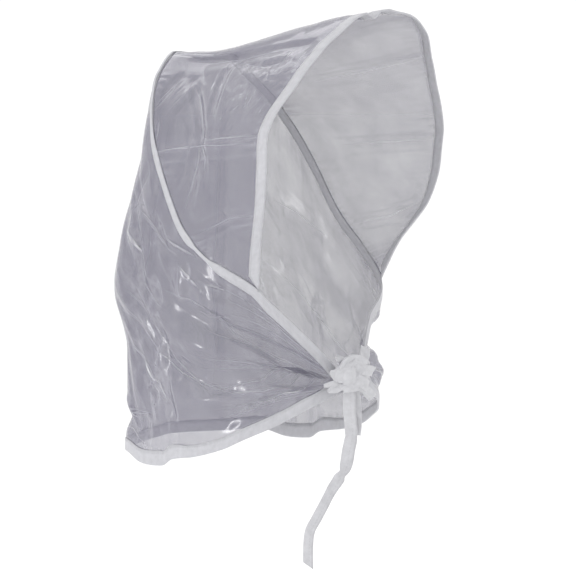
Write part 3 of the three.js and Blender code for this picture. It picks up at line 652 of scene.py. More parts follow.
# %% Creases of the hood and the visor: height, width, then spots as (turn, share)
HOOD_PINCHES = [
    (2.6, 6, ((-42.5, 0.385), (-50, 0.295), (-59, 0.18), (-65.5, 0.09))),
    (3.2, 6, ((-50, 0.295), (-69, 0.22), (-81.5, 0.19), (-92.5, 0.11))),
    (2.8, 5, ((-50, 0.295), (-57.5, 0.305), (-60.5, 0.34), (-67, 0.42), (-83, 0.43))),
    (2.0, 5, ((-42.5, 0.385), (-55, 0.39), (-62, 0.415))),
    (3.4, 7, ((-52.5, 0.51), (-65, 0.515), (-79, 0.57), (-107, 0.645), (-130.5, 0.71))),
    (2.6, 6, ((-44, 0.585), (-61, 0.575), (-79.5, 0.62), (-82.5, 0.805))),
    (2.6, 6, ((-48.5, 0.665), (-61, 0.685), (-82.5, 0.805))),
    (3.0, 5, ((-113, 0.29), (-123, 0.345), (-144.5, 0.405), (-165, 0.395))),
    (2.6, 5, ((-104, 0.675), (-135.5, 0.615), (-165, 0.395))),
    (2.4, 5, ((-135, 0.83), (-153, 0.73), (-166, 0.495))),
    (2.0, 5, ((-38.5, 0.905), (-66.5, 0.83))),
    (1.6, 4, ((-66.5, 0.75), (-64.5, 0.84))),
    (-3.4, 2, ((-58, 0.886), (-46, 0.880), (-36, 0.886))),
    (5.5, 12, ((-64, 0.940), (-45, 0.935), (-28, 0.940))),
    (-2.2, 8, ((-92, 0.13), (-93, 0.28), (-80, 0.36))),
    (1.6, 6, ((50, 0.30), (69, 0.24), (84, 0.18))),
    (1.8, 7, ((44, 0.50), (66, 0.52), (100, 0.60), (128, 0.66))),
    (2.4, 6, ((20, 0.10), (24, 0.45), (22, 0.90))),
    (2.2, 6, ((-16, 0.12), (-13, 0.50), (-15, 0.88))),
]
VISOR_PINCHES = [
    (-2.4, 7, ((-68, 0.0), (-68, 0.30), (-67.5, 0.44), (-68, 0.60), (-68, 0.97))),
    (2.6, 6, ((-44.5, 0.244), (-56.5, 0.344), (-62.5, 0.413), (-66, 0.431))),
    (2.4, 5, ((-66, 0.431), (-71.5, 0.363), (-79, 0.244), (-87.5, 0.075))),
    (1.6, 4, ((-66, 0.431), (-69, 0.438), (-74.5, 0.413))),
    (2.4, 5, ((-34, 0.463), (-40, 0.431), (-47.5, 0.431), (-54, 0.444), (-59, 0.469))),
    (1.8, 5, ((-40, 0.144), (-46.5, 0.094), (-54, 0.025))),
    (-1.8, 6, ((-46.5, 0.25), (-50, 0.213), (-56, 0.131))),
    (1.8, 5, ((-41, 0.81), (-42, 0.68), (-36, 0.5))),
    (2.2, 6, ((-30, 0.10), (-33, 0.50), (-33, 0.95))),
    (-1.0, 6, ((68, 0.30), (68, 0.97))),
    (1.0, 6, ((43, 0.35), (42, 0.97))),
    (0.8, 4, ((96, 0.10), (98, 0.55), (94, 0.92))),
    (1.6, 5, ((-96, 0.12), (-94, 0.55), (-97, 0.90))),
]
GATHERS = 13
GATHER_END_TURN = 173
gather = np.random.default_rng(11)
for side in (-1, 1):
    for start, share, goal, height, width in zip(
        gather.uniform(96, 138, GATHERS), np.linspace(0.08, 0.92, GATHERS), np.linspace(0.2, 0.8, GATHERS),
        gather.uniform(0.9, 2.4, GATHERS), gather.uniform(3.5, 6.0, GATHERS),
    ):
        middle = (start + GATHER_END_TURN) / 2
        bend = (share + goal) / 2 + gather.uniform(-0.05, 0.05)
        spots = (side * start, share), (side * middle, bend), (side * GATHER_END_TURN, goal)
        HOOD_PINCHES.append((height, width, spots))
print("creases:", len(HOOD_PINCHES), "on the hood and", len(VISOR_PINCHES), "on the visor")


# %% [markdown]
# On top of the creases lie facets of several sizes, from about 40 mm across down to the fine crumple where
# the film was crushed. One noise texture as displacement could do it, but it would ripple the taped edges
# too. Here every pattern is let go of near the tapes, which hold the film in short puckers. The visor's
# left margin also leans in under its stiff tape, which is why that tape looks narrower.

# %% Wrinkles of the hood and the visor
CRUSHED_PLACE = (-110.0, 0.17)
CRUSHED_RADIUS = 30
# Facets: height and size in millimetres, and the seed that scatters them.
HOOD_FACETS = {"large": (4.0, 42, 3), "small": (1.8, 24, 4), "crushed": (2.4, 15, 6)}
VISOR_FACETS = {"large": (1.8, 40, 13), "small": (0.8, 22, 14), "crumple": (0.9, 7.5, 16)}
PUCKER_HEIGHT = 0.9
EDGE_ROLL = {"turn": (4, 18, 50, 110, 126), "slope": (0.0, -0.55, -0.30, -0.20, 0.0)}
ROLLED_MARGIN = 11
ROLL_END = 80


def edge_roll(turn, inward):
    """Stand-off of the visor's left margin: slope times the way in, up to its width, then let go of."""
    slope = np.interp(turn, EDGE_ROLL["turn"], EDGE_ROLL["slope"])
    return slope * np.minimum(inward, ROLLED_MARGIN) * (1 - smooth_step(inward, ROLLED_MARGIN, ROLL_END))


def facet_layer(row, a, b):
    """The facets of one row, at its height, size and seed."""
    height, size, seed = row
    return height * facets(a, b, size, seed)


def hood_wrinkle(turn, share):
    """Facets at three sizes plus the pinches, let go of gradually from both taped edges."""
    a, b, span = on_film(HOOD_MAP, turn, share)
    free = smooth_step(np.minimum(b - 7, span - b - 10), 0, 16)
    calm = np.clip(span / 120, 0.25, 1)
    near = 1 - 0.5 * smooth_step(turn, 20, 60)
    total = facet_layer(HOOD_FACETS["large"], a, b * 0.75) * calm * near
    small = facet_layer(HOOD_FACETS["small"], a * 0.8, b)
    total = total - small * patches(a, b, 150, 5) * calm * near
    a0, b0, _ = on_film(HOOD_MAP, *CRUSHED_PLACE)
    crushed = np.exp(-((a - a0) ** 2 + (b - b0) ** 2) / CRUSHED_RADIUS**2)
    total = total + facet_layer(HOOD_FACETS["crushed"], a, b) * crushed
    pucker = np.sin(a / 0.95 + 1.5 * np.sin(a / 9.0)) * patches(a, b, 60, 8)
    near_tape = smooth_step(np.minimum(b - 6, span - b - 9), 0, 3) * np.exp(-np.minimum(b, span - b) / 9)
    total = free * total + PUCKER_HEIGHT * near_tape * pucker
    for height, width, spots in HOOD_PINCHES:
        total = total + free * pinch(HOOD_MAP, a, b, spots, height, width)
    return total + (1 - free) * edge_wave(a)


def visor_wrinkle(turn, share):
    """Lower facets than the hood's, as two tapes hold the film taut, and a fine crumple near the edge."""
    a, b, span = on_film(VISOR_MAP, turn, share)
    free = smooth_step(np.minimum(b - 4, span - b - 10), 0, 14)
    calm = 1 - 0.75 * smooth_step(turn, 0, 30)
    small = facet_layer(VISOR_FACETS["small"], a, b)
    total = facet_layer(VISOR_FACETS["large"], a, b * 0.7) - small * patches(a, b, 140, 15)
    beside = smooth_step(turn, -72, -60) * (1 - smooth_step(turn, -45, -25))
    crumpled = smooth_step(share, 0.35, 0.6) * beside
    total = calm * total + facet_layer(VISOR_FACETS["crumple"], a, b) * crumpled
    pucker = np.sin(a / 0.9 + 1.5 * np.sin(a / 8.0)) * patches(a, b, 50, 18)
    near_tape = smooth_step(np.minimum(b - 3, span - b - 9), 0, 3)
    near_tape = near_tape * np.exp(-np.minimum(b + 5, span - b) / 9)
    total = free * total + PUCKER_HEIGHT * near_tape * pucker
    for height, width, spots in VISOR_PINCHES:
        total = total + free * pinch(VISOR_MAP, a, b, spots, height, width)
    return total + (1 - free) * edge_wave(a) + edge_roll(turn, span - b)


# %% [markdown]
# A sheet of film is its surface pushed out by its wrinkles. Its rows are spaced partly by distance and
# partly by angle, so that enough of them run through the gathers at the knot. The same grid tells how
# sharply the film bends at each point, which the material reads as haze: the vinyl's stress whitening,
# and also a painted highlight along each sharp bend.


# %% Films
def haze_of(points):
    """How sharply the film bends: a point's step from the mean of its four neighbours, over the spacing."""
    middle = points[1:-1, 1:-1]
    ring = (points[2:, 1:-1] + points[:-2, 1:-1] + points[1:-1, 2:] + points[1:-1, :-2]) / 4
    spacing = np.linalg.norm(points[2:, 1:-1] - points[:-2, 1:-1], axis=-1) / 2
    bend = np.zeros(points.shape[:2])
    bend[1:-1, 1:-1] = np.linalg.norm(ring - middle, axis=-1) / np.maximum(spacing, 0.5)
    return bend


# The bend at which haze would be full, and the most haze that broad bends are given. The haze stands
# for stress whitening and also paints a highlight on sharp bends.
HAZE_BEND = 0.2
HAZE_LIMIT = 0.35


def film_sheet(name, surface_frame, wrinkle, film_map, turns, shares):
    """Film on a grid of turns and shares, pushed along its normal by the wrinkles."""
    turn, share = np.meshgrid(turns, shares, indexing="ij")
    point, _, _, out = surface_frame(turn, share)
    points = point + out * wrinkle(turn, share)[..., None]
    a, b, _ = on_film(film_map, turn, share)
    piece = grid_object(name, points, np.stack([a, b], -1))
    point_attribute(piece, "haze_and_highlight", np.clip(haze_of(points) / HAZE_BEND, 0, HAZE_LIMIT))
    return piece, points


def even_turns(film_map, limit, count):
    """Turns whose spacing mixes even steps along the film with even steps of angle."""
    turns, along, _ = film_map
    at = np.linspace(np.interp(-limit, turns, along), np.interp(limit, turns, along), count)
    return 0.75 * np.interp(at, along, turns) + 0.25 * np.linspace(-limit, limit, count)


HOOD_TURNS = even_turns(HOOD_MAP, 178.0, 264)
HOOD_SHARES = np.linspace(0.012, 0.988, 144)
VISOR_TURNS = even_turns(VISOR_MAP, 132.5, 300)
VISOR_SHARES = np.linspace(0.015, 0.985, 90)
hood_piece, hood_points = film_sheet(
    "hood_clear_film", hood_frame, hood_wrinkle, HOOD_MAP, HOOD_TURNS, HOOD_SHARES
)
visor_piece, visor_points = film_sheet(
    "visor_clear_film", visor_frame, visor_wrinkle, VISOR_MAP, VISOR_TURNS, VISOR_SHARES
)
print("film grids:", hood_points.shape[:2], "and", visor_points.shape[:2])


# %% [markdown]
# The film itself is 0.12 mm vinyl. A Solidify modifier gives it a thin wall of 0.25 mm, so that the mesh is
# a closed skin. Its finish could be real glass with refraction, but so thin a skin bends no light, and a
# glossy surface that lets part of the light straight through renders cleanly and exports as alpha. Sharp
# creases stress the vinyl and turn it whiter, so the haze of each point makes the film denser and whiter
# there, and that whiter tint is also a painted highlight where a crease would catch the light.


# %% Film material
FILM_ALPHA = 0.305
HAZE_ALPHA = 0.55
GRAZING_ALPHA = 0.26
CLOUD_ALPHA = 0.06
DENSEST = 0.85
FILM_TINT = (0.162, 0.155, 0.215, 1.0)
# White that haze mixes in: the vinyl's stress whitening, and a painted highlight on sharp bends.
HAZE_AND_HIGHLIGHT_TINT = (0.93, 0.93, 0.97, 1.0)


def film_material(name):
    """Alpha rises with haze, at grazing angles and in cloudy patches; the tint whitens with haze, a painted
    highlight as well as stress whitening.
    """
    material, tree, shader = new_material(name)
    haze_and_highlight = tree.nodes.new("ShaderNodeAttribute")
    haze_and_highlight.attribute_name = "haze_and_highlight"
    uv = tree.nodes.new("ShaderNodeUVMap")
    uv.uv_map = "UVMap"
    flat = uv.outputs["UV"]
    cloud = node(tree, "ShaderNodeTexNoise", Vector=flat, Scale=0.035, Detail=5.0, Roughness=0.6)
    facing = node(tree, "ShaderNodeLayerWeight", Blend=0.35)
    dense = maths(tree, "MULTIPLY", maths(tree, "POWER", haze_and_highlight.outputs["Fac"], 1.3), HAZE_ALPHA)
    grazing = maths(tree, "MULTIPLY", facing.outputs["Facing"], GRAZING_ALPHA)
    spread = cloud.outputs["Fac"]
    cloudy = node(tree, "ShaderNodeMapRange", Value=spread, i1=0.35, i2=0.7, i3=0.0, i4=CLOUD_ALPHA)
    bent = maths(tree, "ADD", dense, grazing)
    alpha = maths(tree, "ADD", bent, maths(tree, "ADD", cloudy.outputs[0], FILM_ALPHA))
    tint = node(tree, "ShaderNodeMix")
    tint.data_type = "RGBA"
    tint.inputs["A"].default_value = FILM_TINT
    tint.inputs["B"].default_value = HAZE_AND_HIGHLIGHT_TINT
    tree.links.new(maths(tree, "POWER", haze_and_highlight.outputs["Fac"], 1.5), tint.inputs["Factor"])
    crumple = node(tree, "ShaderNodeTexNoise", Vector=flat, Scale=0.05, Detail=2.0)
    bump = node(tree, "ShaderNodeBump", Strength=0.16, Distance=0.003, Height=crumple.outputs["Fac"])
    tree.links.new(maths(tree, "MINIMUM", alpha, DENSEST), shader.inputs["Alpha"])
    tree.links.new(tint.outputs["Result"], shader.inputs["Base Color"])
    tree.links.new(bump.outputs["Normal"], shader.inputs["Normal"])
    shader.inputs["Roughness"].default_value = 0.16
    shader.inputs["IOR"].default_value = 1.54
    shader.inputs["Coat Weight"].default_value = 0.5
    shader.inputs["Coat Roughness"].default_value = 0.08
    return material


film_look = film_material("clear vinyl film")
print("film material:", film_look.name)


# %% Film wall
FILM_WALL = 0.25


def walled(piece, thickness):
    """Gives a sheet its thin wall with Solidify and keeps the result as its mesh."""
    wall = piece.modifiers.new("wall", "SOLIDIFY")
    wall.thickness = thickness * MM
    wall.offset = 0.0
    thick = bpy.data.meshes.new_from_object(piece.evaluated_get(bpy.context.evaluated_depsgraph_get()))
    piece.modifiers.clear()
    piece.data = thick


for piece in (hood_piece, visor_piece):
    piece.data.materials.append(film_look)
    walled(piece, FILM_WALL)
print("film wall:", FILM_WALL, "mm")

# %% [markdown]
# A sharp crease stresses vinyl and turns it white along a line no wider than a thread, and it catches the
# light there as well. A grid of film fine enough to hold such lines would be huge, so each crease gets a
# hair-thin lens of whitened film along the ridge that the grid already has, which paints that highlight
# too. The lenses are joined to the film, so each film stays one piece. Wider and fainter bands of white
# are painted highlights, laid where a facet catches the light. It is easiest to say where these show in
# the camera's picture, so they are listed in pixels, and the place on the film under each pixel is looked
# up.


# %% Whitened creases
# Crease lenses: whitened vinyl, and also a painted highlight along each ridge.
CREASE_THICK = 0.2
CREASE_WHITE = 0.85
CREASE_STAND_OFF = 0.15
CREASE_STATIONS = 40


def whitening_and_highlight_material(name):
    """White film whose alpha is the haze of each point: stress whitening and a painted highlight."""
    material, tree, shader = new_material(name)
    haze_and_highlight = tree.nodes.new("ShaderNodeAttribute")
    haze_and_highlight.attribute_name = "haze_and_highlight"
    tree.links.new(haze_and_highlight.outputs["Fac"], shader.inputs["Alpha"])
    shader.inputs["Base Color"].default_value = (0.95, 0.95, 0.98, 1.0)
    shader.inputs["Roughness"].default_value = 0.4
    return material


whitening_and_highlight_look = whitening_and_highlight_material("whitened vinyl film with painted highlight")


def crease_line(frame_of, wrinkle, film_map, spots, half_width, white):
    """Thin lens along the spots, even steps apart on the flat film, thinning out to both sides and ends."""
    spots = np.array(spots, float)
    flat = np.stack(on_film(film_map, spots[:, 0], spots[:, 1])[:2], -1)
    at = np.linspace(0, walked(flat)[-1], CREASE_STATIONS)
    turn, share = (np.interp(at, walked(flat), spots[:, i]) for i in (0, 1))
    point, _, _, out = frame_of(turn, share)
    line = point + out * (wrinkle(turn, share) + CREASE_STAND_OFF)[:, None]
    taper = np.sin(np.pi * np.linspace(0.04, 0.96, CREASE_STATIONS)) ** 0.7
    ring = ribbon_ring(half_width, CREASE_THICK, 0.0, 4)
    lens_shape = strip_object("crease", line, ring, taper, out)
    middle = 1 - (ring[:, 0] / half_width) ** 2
    point_attribute(lens_shape, "haze_and_highlight", np.minimum(white * 1.2, 1) * np.outer(taper, middle))
    lens_shape.data.materials.append(whitening_and_highlight_look)
    return lens_shape


# %% Places under a pixel of the picture
PICTURE_PIXELS = 576


def picture(points):
    """Where drawn points fall in the picture: half its side plus focal pixels times offset over depth."""
    back = np.array((CAMERA_PLACE - CAMERA_TARGET).normalized())
    right = unit(np.cross((0.0, 0.0, 1.0), back))
    away = to_row(points) - np.array(CAMERA_PLACE)
    depth = -(away @ back)
    scale = LENS_MM / SENSOR_MM * PICTURE_PIXELS / depth
    middle = PICTURE_PIXELS / 2
    return middle + scale * (away @ right), middle - scale * (away @ np.cross(back, right)), depth


# A place is looked for this many pixels round, among places this close behind the nearest one, in metres.
PIXEL_REACH = 2.5
LAYER_DEPTH = 0.015
FAR_OFF = 999.0


def film_places(surface, limit, pixels):
    """Turn and share of the place on the nearer side of a film that lies under each pixel."""
    turn, share = np.meshgrid(np.arange(-limit, 20, 0.4), np.linspace(0, 1, 240), indexing="ij")
    u, v, depth = picture(surface(turn, share))
    places = []
    for x, y in pixels:
        gap = np.hypot(u - x, v - y)
        nearest = np.where(gap < PIXEL_REACH, depth, FAR_OFF).min()
        at = np.where(depth < nearest + LAYER_DEPTH, gap, FAR_OFF).argmin()
        places.append((turn.flat[at], share.flat[at]))
    return places


# %% Glints
# Painted highlights: half width in mm, whiteness, then the pixels that the film's bright facets and
# folds run through.
HOOD_GLINTS = (
    (2.0, 0.72, (164, 237), (178, 247), (190, 254), (197, 259)),
    (2.4, 0.72, (179, 265), (185, 275), (193, 283), (198, 288)),
    (1.7, 0.72, (205, 285), (214, 287), (227, 291)),
    (0.7, 1.0, (231, 317), (215, 318), (222, 323), (234, 331), (243, 339)),
    (3.2, 0.52, (126, 226), (132, 238), (138, 252), (142, 270), (144, 287)),
    (3.0, 0.43, (119, 232), (118, 255), (118, 280), (121, 300)),
    (1.4, 0.49, (123, 287), (133, 299), (144, 311), (150, 330), (158, 345)),
    (0.6, 1.0, (116, 301), (123, 304), (136, 322), (149, 341)),
    (0.8, 1.0, (146, 339), (158, 353), (171, 366), (183, 374), (195, 380), (203, 388), (212, 397)),
    (2.6, 0.61, (131, 342), (145, 362), (160, 386), (170, 409)),
    (0.6, 1.0, (129, 340), (136, 349), (149, 365), (163, 391), (171, 410), (177, 419)),
    (0.8, 1.0, (197, 386), (212, 385), (235, 392), (263, 391), (290, 384), (322, 379)),
    (0.7, 1.0, (220, 419), (243, 411), (270, 402), (298, 391), (324, 381)),
    (0.7, 1.0, (245, 340), (270, 351), (296, 363), (322, 374)),
    (0.5, 1.0, (126, 412), (140, 411), (153, 413)),
    (0.5, 0.87, (148, 394), (150, 403), (152, 412)),
    (1.0, 0.8, (196, 250), (210, 262), (222, 268)),
    (1.6, 0.49, (205, 310), (190, 300), (176, 292)),
    (1.2, 0.58, (133, 206), (142, 218), (152, 229), (163, 246), (178, 258)),
    (1.2, 0.65, (133, 206), (136, 222), (140, 243)),
)
VISOR_GLINTS = (
    (3.0, 0.58, (197, 88), (199, 104), (201, 122), (202, 140)),
    (1.2, 1.0, (230, 60), (223, 73), (218, 85), (214, 98)),
    (1.0, 0.72, (182, 77), (172, 90), (162, 102), (155, 111)),
    (0.9, 1.0, (203, 141), (222, 139), (242, 137), (259, 136)),
    (0.8, 1.0, (156, 152), (172, 150), (190, 147), (197, 146)),
    (1.8, 0.52, (202, 141), (197, 158), (193, 174), (188, 192)),
    (0.6, 0.72, (203, 142), (204, 158), (203, 173)),
    (1.6, 0.52, (160, 119), (158, 132), (156, 144)),
    (1.3, 0.72, (277, 66), (287, 55), (299, 43)),
    (1.2, 0.65, (291, 69), (300, 58), (309, 47)),
    (1.4, 0.49, (247, 92), (245, 102), (242, 112)),
    (0.6, 0.87, (257, 88), (251, 96), (244, 108)),
    (0.5, 0.8, (262, 96), (255, 104)),
    (0.5, 0.8, (240, 103), (235, 108), (230, 110)),
    (0.5, 0.8, (258, 114), (262, 108)),
    (0.5, 0.72, (222, 118), (219, 121)),
)


# %% Films with their creases and glints
def with_creases(piece, frame_of, wrinkle, film_map, pinches, surface, limit, glints):
    """Film with whitening and a painted highlight on each ridge, and a painted highlight along each glint.
    """
    lines = [
        crease_line(frame_of, wrinkle, film_map, spots, 0.20 + 0.13 * abs(height), CREASE_WHITE)
        for height, _, spots in pinches
    ]
    # Each glint is a painted highlight: a band of white fixed on the film where a facet catches the light.
    for half_width, white, *pixels in glints:
        spots = film_places(surface, limit, pixels)
        lines.append(crease_line(frame_of, wrinkle, film_map, spots, half_width, white))
    return joined(piece.name, [piece, *lines])


hood_piece = with_creases(
    hood_piece, hood_frame, hood_wrinkle, HOOD_MAP, HOOD_PINCHES, hood_surface, 178.0, HOOD_GLINTS
)
visor_piece = with_creases(
    visor_piece, visor_frame, visor_wrinkle, VISOR_MAP, VISOR_PINCHES, visor_surface, 132.0, VISOR_GLINTS
)
print("whitened creases:", len(HOOD_PINCHES) + len(VISOR_PINCHES))
print("glints:", len(HOOD_GLINTS) + len(VISOR_GLINTS))

# %% [markdown]
# The binding is tape folded over the film's edge, one leaf on each side. On the real bonnet it is fed over
# the edge and stitched in one pass. Each tape here is one closed ring of points carried along its edge, so
# it has two real leaves, a slot for the film and a round folded side, and it waves with the film's edge.

# %% Tape folded over an edge
LEAF = 0.5
SLOT = 0.3
HALF = LEAF + SLOT
TAPE_SPAN_SHARE = 0.42
SEAM_WEB = 0.6
MITRE_LIMIT = 0.6


def hood_span(turn):
    """Width of the hood's film at a turn."""
    return np.linalg.norm(hood_frame(turn, 0.5)[2], axis=-1)


def visor_span(turn):
    """Width of the visor's film at a turn."""
    return np.linalg.norm(visor_frame(turn, 0.5)[2], axis=-1)


def past_tip(turn):
    """How far a place has left the visor's tip, from 0 to 1."""
    return smooth_step(np.abs(turn), VISOR_END_TURN, TIP_TURN + 4)


def folded_tape(reach):
    """Section per station: distance in from the edge and height off the film, in order round the ring."""
    arc = np.radians(np.linspace(-90, -270, 7))
    share = np.concatenate([[1, 0.6, 0, 0, 0.6, 1, 1, 0.66, 0.33], np.zeros(7), [0.33, 0.66, 1]])
    base = np.concatenate([[0, 0, LEAF, LEAF, 0, 0, 0, 0, 0], HALF + HALF * np.cos(arc), [0, 0, 0]])
    up = np.concatenate([[1, 1, 1, -1, -1, -1], np.zeros(13)]) * SLOT
    up[6:] = np.concatenate([[-HALF] * 3, HALF * np.sin(arc), [HALF] * 3])
    return reach[:, None] * share + base, np.broadcast_to(up, (len(reach), len(up)))


def tape_along(name, frame_of, span_of, film_map, turns, reach, roll):
    """Tape folded over the far edge, share 1, of a film; roll gives how far a distance in stands off."""
    across, up = folded_tape(reach)
    turn = np.broadcast_to(turns[:, None], across.shape)
    tip = roll(turns, np.ones_like(turns))[:, None]
    inward = across / np.sqrt(1 + tip**2)
    point, _, _, out = frame_of(turn, 1 - inward / span_of(turns)[:, None])
    a = on_film(film_map, turns, 0.0)[0]
    points = point + out * (up + edge_wave(a)[:, None] + tip * inward)[..., None]
    edge = walked(points[:, 12])
    uv = np.stack(np.broadcast_arrays(edge[:, None], across), -1)
    return grid_object(name, points, uv, ring=True)


def flat_edge(turn, inward):
    """A taped border that lies flat on its film."""
    return 0.0 * turn * inward


# %% [markdown]
# The seam tape does two jobs: its leaves hold the hood's front edge, and a flange on its other side holds
# the visor's back edge. Past the visor's tips there is only the hood's edge to hold, so there the flange
# dies away. It could be two tapes laid together, but one ring of points keeps them from cutting each other.

# %% Seam tape
# On the right side its folds pull it narrow: at one kink, and over the back of the crown.
SEAM_NARROW = {
    "turn": (-122, -114, -109, -101, -97, -68, -60, -8, 6),
    "share": (1.0, 0.9, 0.36, 0.40, 0.8, 0.8, 0.42, 0.42, 1.0),
}


def seam_tape(name, turns):
    """Tape over the hood's front edge that also holds the visor's back edge, between the visor's tips."""
    span, away = hood_span(turns), np.abs(turns)
    narrow = np.interp(turns, SEAM_NARROW["turn"], SEAM_NARROW["share"])
    at = np.clip(turns, -VISOR_END_TURN, VISOR_END_TURN)
    past = past_tip(turns)
    flange = (SEAM_FLANGE + (SLOT - SEAM_FLANGE) * past) * narrow
    reach = np.minimum(TAPE_WIDTH * narrow - flange, TAPE_SPAN_SHARE * span)
    web = np.minimum(SEAM_WEB, flange - 0.15)
    none, hold = np.zeros_like(away), np.full_like(away, SEAM_WEB)
    across = np.stack([
        reach, reach * 0.5, hold, hold, reach * 0.5, reach, reach, reach * 0.6, none, -flange * 0.6,
        -flange, -flange, -web, -web, -flange, -flange, -flange * 0.6, none, reach * 0.6, reach,
    ], 1)
    low, high = [-SLOT] * 3, [SLOT] * 3
    under = [-HALF * 0.8, -HALF, -HALF, -HALF, -HALF * 0.8, -SLOT, -SLOT]
    over = [SLOT, SLOT, HALF * 0.8, HALF, HALF, HALF, HALF * 0.8]
    up = np.array([*high, *low, *under, *over])
    turn = np.broadcast_to(turns[:, None], across.shape)
    inner = np.clip(across, 0, None) / span[:, None]
    point, _, _, out = hood_frame(turn, inner)
    on_hood = point + out * up[None, :, None]
    start, _, way, normal = (x[:, None] for x in hood_frame(turns, 0.0))
    at_all = np.broadcast_to(at[:, None], across.shape)
    visor_share = np.clip(-across, 0, None) / visor_span(at)[:, None]
    visor_point, _, _, visor_out = visor_frame(at_all, visor_share)
    reach_out = visor_point - visor_surface(at, 0.0)[:, None]
    blend = past[:, None, None]
    plain = unit(way) * across[..., None]
    side_out = unit(visor_out + (normal - visor_out) * blend)
    on_visor = start + reach_out + (plain - reach_out) * blend + side_out * up[None, :, None]
    other = visor_frame(at, 0.0)[3][:, None]
    bisector = unit(normal + other + (normal - other) * blend)
    mitre = up[None, :, None] / np.maximum(np.sum(bisector * normal, -1, keepdims=True), MITRE_LIMIT)
    on_mitre = start + bisector * mitre
    outer = np.where(across[..., None] < 0, on_visor, on_mitre)
    points = np.where(across[..., None] > 0, on_hood, outer)
    a = on_film(HOOD_MAP, turns, 0.0)[0]
    points = points + bisector * edge_wave(a)[:, None, None]
    uv = np.stack(np.broadcast_arrays(walked(points[:, 17])[:, None], across + SEAM_FLANGE), -1)
    return grid_object(name, points, uv, ring=True)


# %% The three tapes
hood_stations = even_turns(HOOD_MAP, 177.5, 520)
visor_stations = even_turns(VISOR_MAP, 133.5, 420)
hem_reach = np.minimum(TAPE_WIDTH, TAPE_SPAN_SHARE * hood_span(hood_stations))
hem_tape = tape_along("hem_tape", hood_frame, hood_span, HOOD_MAP, hood_stations, hem_reach, flat_edge)
visor_reach = np.clip(0.6 * (visor_span(visor_stations) - SEAM_FLANGE), 1.0, TAPE_WIDTH)
visor_tape = tape_along(
    "visor_edge_tape", visor_frame, visor_span, VISOR_MAP, visor_stations, visor_reach, edge_roll
)
front_tape = seam_tape("seam_tape", hood_stations)
for piece in (hem_tape, visor_tape, front_tape):
    piece.data.materials.append(binding_look)
print("tapes:", [piece.name for piece in (hem_tape, visor_tape, front_tape)])

# %% [markdown]
# The knot is tape tied to itself: the tapes of the front edge and the hem run in from both sides, a wrap
# holds them, a folded lobe and a leaf stand on top, and short ends stick out to the left and hang behind
# the tie. One lump would show no tape, so each turn of tape is its own ribbon with its own crumple, and the
# ribbons are joined into one piece. Two pinches of gathered film go in with them.


